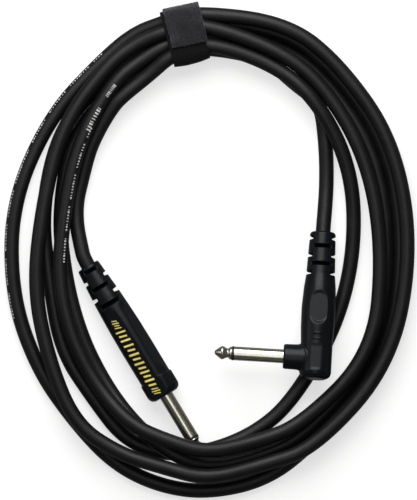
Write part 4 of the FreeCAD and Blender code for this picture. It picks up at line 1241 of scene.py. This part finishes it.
class CABLE_OT_print_bars(bpy.types.Operator):
    """Print a row of plain bars on the straight plug's top flat, as thin raised foil"""

    bl_idname = "cable.print_bars"
    bl_label = "Bars"

    def execute(self, context):
        foil = shared_material("bar_foil", moulded_material, tuple(model_settings()[2].gold), 0.4, shine=0.6)
        angle = math.radians(STRAIGHT_FLATS[0][0])
        over = np.array((-math.sin(angle), math.cos(angle), 0.0))
        across = np.array((math.cos(angle), math.sin(angle), 0.0))
        place, width, reach = (column[:, None, None] for column in np.array(BARS).T)
        middle = over * BAR_LEVEL + across * BAR_SHIFT + UP * place
        points = (middle + BOX_CORNERS[:, :1] * (across * reach + UP * BAR_SLANT)
                  + BOX_CORNERS[:, 1:2] * over * BAR_THICKNESS + BOX_CORNERS[:, 2:] * UP * (width / 2))
        first = len(BOX_CORNERS) * np.arange(len(BARS))[:, None, None]
        faces = (BOX_SIDES + first).reshape(-1, 4).tolist()
        mesh = new_mesh("plug_bars", STRAIGHT_SEAT.put(points.reshape(-1, 3)), faces, foil)
        finish_piece(link("plug_bars", mesh))
        return {"FINISHED"}


TINNED = ("lug_tinned", metal_material, (0.66, 0.62, 0.52), 0.35)
COPPER = ("wire_copper", metal_material, (0.72, 0.42, 0.28), 0.3)
# Finishes of the hidden pieces: the material's name, how it is made, its colour and its roughness.
INNER_FINISHES = {
    "inner_mould": ("inner_mould_plastic", moulded_material, (0.05, 0.05, 0.05), 0.5),
    "washer": ("washer_fibre", moulded_material, (0.03, 0.03, 0.03), 0.6),
    "tip_lug": TINNED,
    "sleeve_lug": TINNED,
    "core": ("core_plastic", moulded_material, (0.6, 0.6, 0.57), 0.45),
    "conductor": COPPER,
    "shield": COPPER,
}


class CABLE_OT_finish_inner(bpy.types.Operator):
    """Give the pieces hidden inside both plugs their finishes"""

    bl_idname = "cable.finish_inner"
    bl_label = "Inner pieces"

    def execute(self, context):
        for plug in ("straight", "angle"):
            for piece, finish in INNER_FINISHES.items():
                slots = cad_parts[plug + "_" + piece].data.materials
                slots.clear()
                slots.append(shared_material(*finish))
        return {"FINISHED"}


# How bright the sky and the floor are in the part's reflections, where 1 is white, and the share of
# steady white in the floor that the camera sees.
GLEAM_OF_SKY, GLEAM_OF_FLOOR = 0.1, 0.24
STEADY_SHARE = 0.62


def floor_material(name):
    """White floor: for the camera a mix of lit matt white and steady white, and dim in reflections."""
    material, work, place = new_material(name)
    base = work.ramp(work.noise(place, 40.0, 2.0),
                     ((NOISE_LOW, (0.93, 0.92, 0.91)), (NOISE_HIGH, (0.95, 0.94, 0.93))))
    matt = work.add("ShaderNodeBsdfDiffuse", {"Color": base}).outputs[0]
    steady = work.add("ShaderNodeEmission", {"Color": WHITE, "Strength": 1.0}).outputs[0]
    gleam = work.add("ShaderNodeEmission", {"Color": WHITE, "Strength": GLEAM_OF_FLOOR}).outputs[0]
    path = work.add("ShaderNodeLightPath").outputs
    share = work.reckon("MULTIPLY", path["Is Camera Ray"], STEADY_SHARE)
    seen = work.add("ShaderNodeMixShader", {0: share, 1: matt, 2: steady}).outputs[0]
    work.show(work.add("ShaderNodeMixShader", {0: path["Is Glossy Ray"], 1: seen, 2: gleam}).outputs[0])
    return material


def lamp(name, place, size, energy):
    """A soft box of a width and a height that faces the coil's centre."""
    data = bpy.data.lights.new(name, "AREA")
    data.shape = "RECTANGLE"
    data.size, data.size_y = size
    data.energy = energy
    facing = (-Vector(place)).to_track_quat("-Z", "Y").to_matrix().to_4x4()
    link(name, data).matrix_world = Matrix.Translation(place) @ facing


def studio_world(sky):
    """White where the camera sees it, dim in reflections, and an even faint light for the rest."""
    world = bpy.data.worlds.new("studio")
    world.use_nodes = True
    world.node_tree.nodes.clear()
    work = Nodes(world.node_tree)
    path = work.add("ShaderNodeLightPath").outputs
    strength = work.mix(path["Is Camera Ray"], work.mix(path["Is Glossy Ray"], sky, GLEAM_OF_SKY), 1.0)
    shader = work.add("ShaderNodeBackground", {"Color": WHITE, "Strength": strength})
    work.show(shader.outputs[0], "ShaderNodeOutputWorld")
    return world


# Sizes of the stage in metres: half the floor's side, the height over the floor that the view height
# is measured at, and the camera's shift towards the tie. The sensor is in millimetres.
FLOOR_HALF = 3.0
FOCUS_LEVEL = 0.008
VIEW_SHIFT = 0.0004
SENSOR = 36.0
# Lamps: name, the setting with its power, its place and its width and height in metres.
LAMPS = (
    ("overhead_lamp", "overhead", (0.0, 0.1, 1.2), (0.5, 1.5)),
    ("front_lamp", "front", (-0.05, 0.6, 0.6), (0.8, 0.75)),
    ("left_lamp", "side", (-0.75, 0.1, 0.45), (0.3, 0.5)),
)


class CABLE_OT_set_stage(bpy.types.Operator):
    """Set the stage: white floor, soft lamps and a camera that looks straight down"""

    bl_idname = "cable.set_stage"
    bl_label = "Stage"

    def execute(self, context):
        sizes = model_settings()[3]
        scene = context.scene
        corners = np.array([(x, y, 0.0) for x, y in ((-1, -1), (1, -1), (1, 1), (-1, 1))]) * FLOOR_HALF
        mesh = new_mesh("floor", corners, [(0, 1, 2, 3)], floor_material("floor_white"))
        link("floor", mesh)
        scene.world = studio_world(sizes.sky)
        for name, setting, place, size in LAMPS:
            lamp(name, place, size, getattr(sizes, setting))
        data = bpy.data.cameras.new("camera")
        data.lens = sizes.lens
        data.sensor_width = SENSOR
        camera = link("camera", data)
        camera.location = (0.0, VIEW_SHIFT, FOCUS_LEVEL + sizes.view_height * sizes.lens / SENSOR)
        scene.camera = camera
        scene.view_settings.view_transform = "Standard"
        return {"FINISHED"}


STEPS = (
    CABLE_OT_set_stage,
    CABLE_OT_lay_cable,
    CABLE_OT_print_dashes,
    CABLE_OT_wrap_tie,
    CABLE_OT_mould_straight,
    CABLE_OT_mould_angle,
    CABLE_OT_turn_pins,
    CABLE_OT_print_bars,
    CABLE_OT_finish_inner,
)


class CABLE_PT_steps(bpy.types.Panel):
    """Lists the steps that build the cable, and its sizes"""

    bl_idname = "CABLE_PT_steps"
    bl_label = "Instrument cable"
    bl_space_type = "VIEW_3D"
    bl_region_type = "UI"
    bl_category = "Cable"

    def draw(self, context):
        for group in model_settings():
            box = self.layout.box()
            for name in group.__annotations__:
                box.prop(group, name)
        for step in STEPS:
            self.layout.operator(step.bl_idname)


GROUPS = {
    "cable_sizes": CableSizes,
    "tie_sizes": TieSizes,
    "plug_sizes": PlugSizes,
    "stage_sizes": StageSizes,
}


def register():
    for group in GROUPS.values():
        bpy.utils.register_class(group)
    for name, group in GROUPS.items():
        setattr(bpy.types.Scene, name, PointerProperty(type=group))
    for step in (*STEPS, CABLE_PT_steps):
        bpy.utils.register_class(step)


def unregister():
    for step in reversed((*STEPS, CABLE_PT_steps)):
        bpy.utils.unregister_class(step)
    for name in GROUPS:
        delattr(bpy.types.Scene, name)
    for group in reversed(GROUPS.values()):
        bpy.utils.unregister_class(group)


def main():
    """Build the whole scene."""
    register()
    for step in STEPS:
        family, name = step.bl_idname.split(".")
        getattr(getattr(bpy.ops, family), name)()


if __name__ == "__main__":
    main()
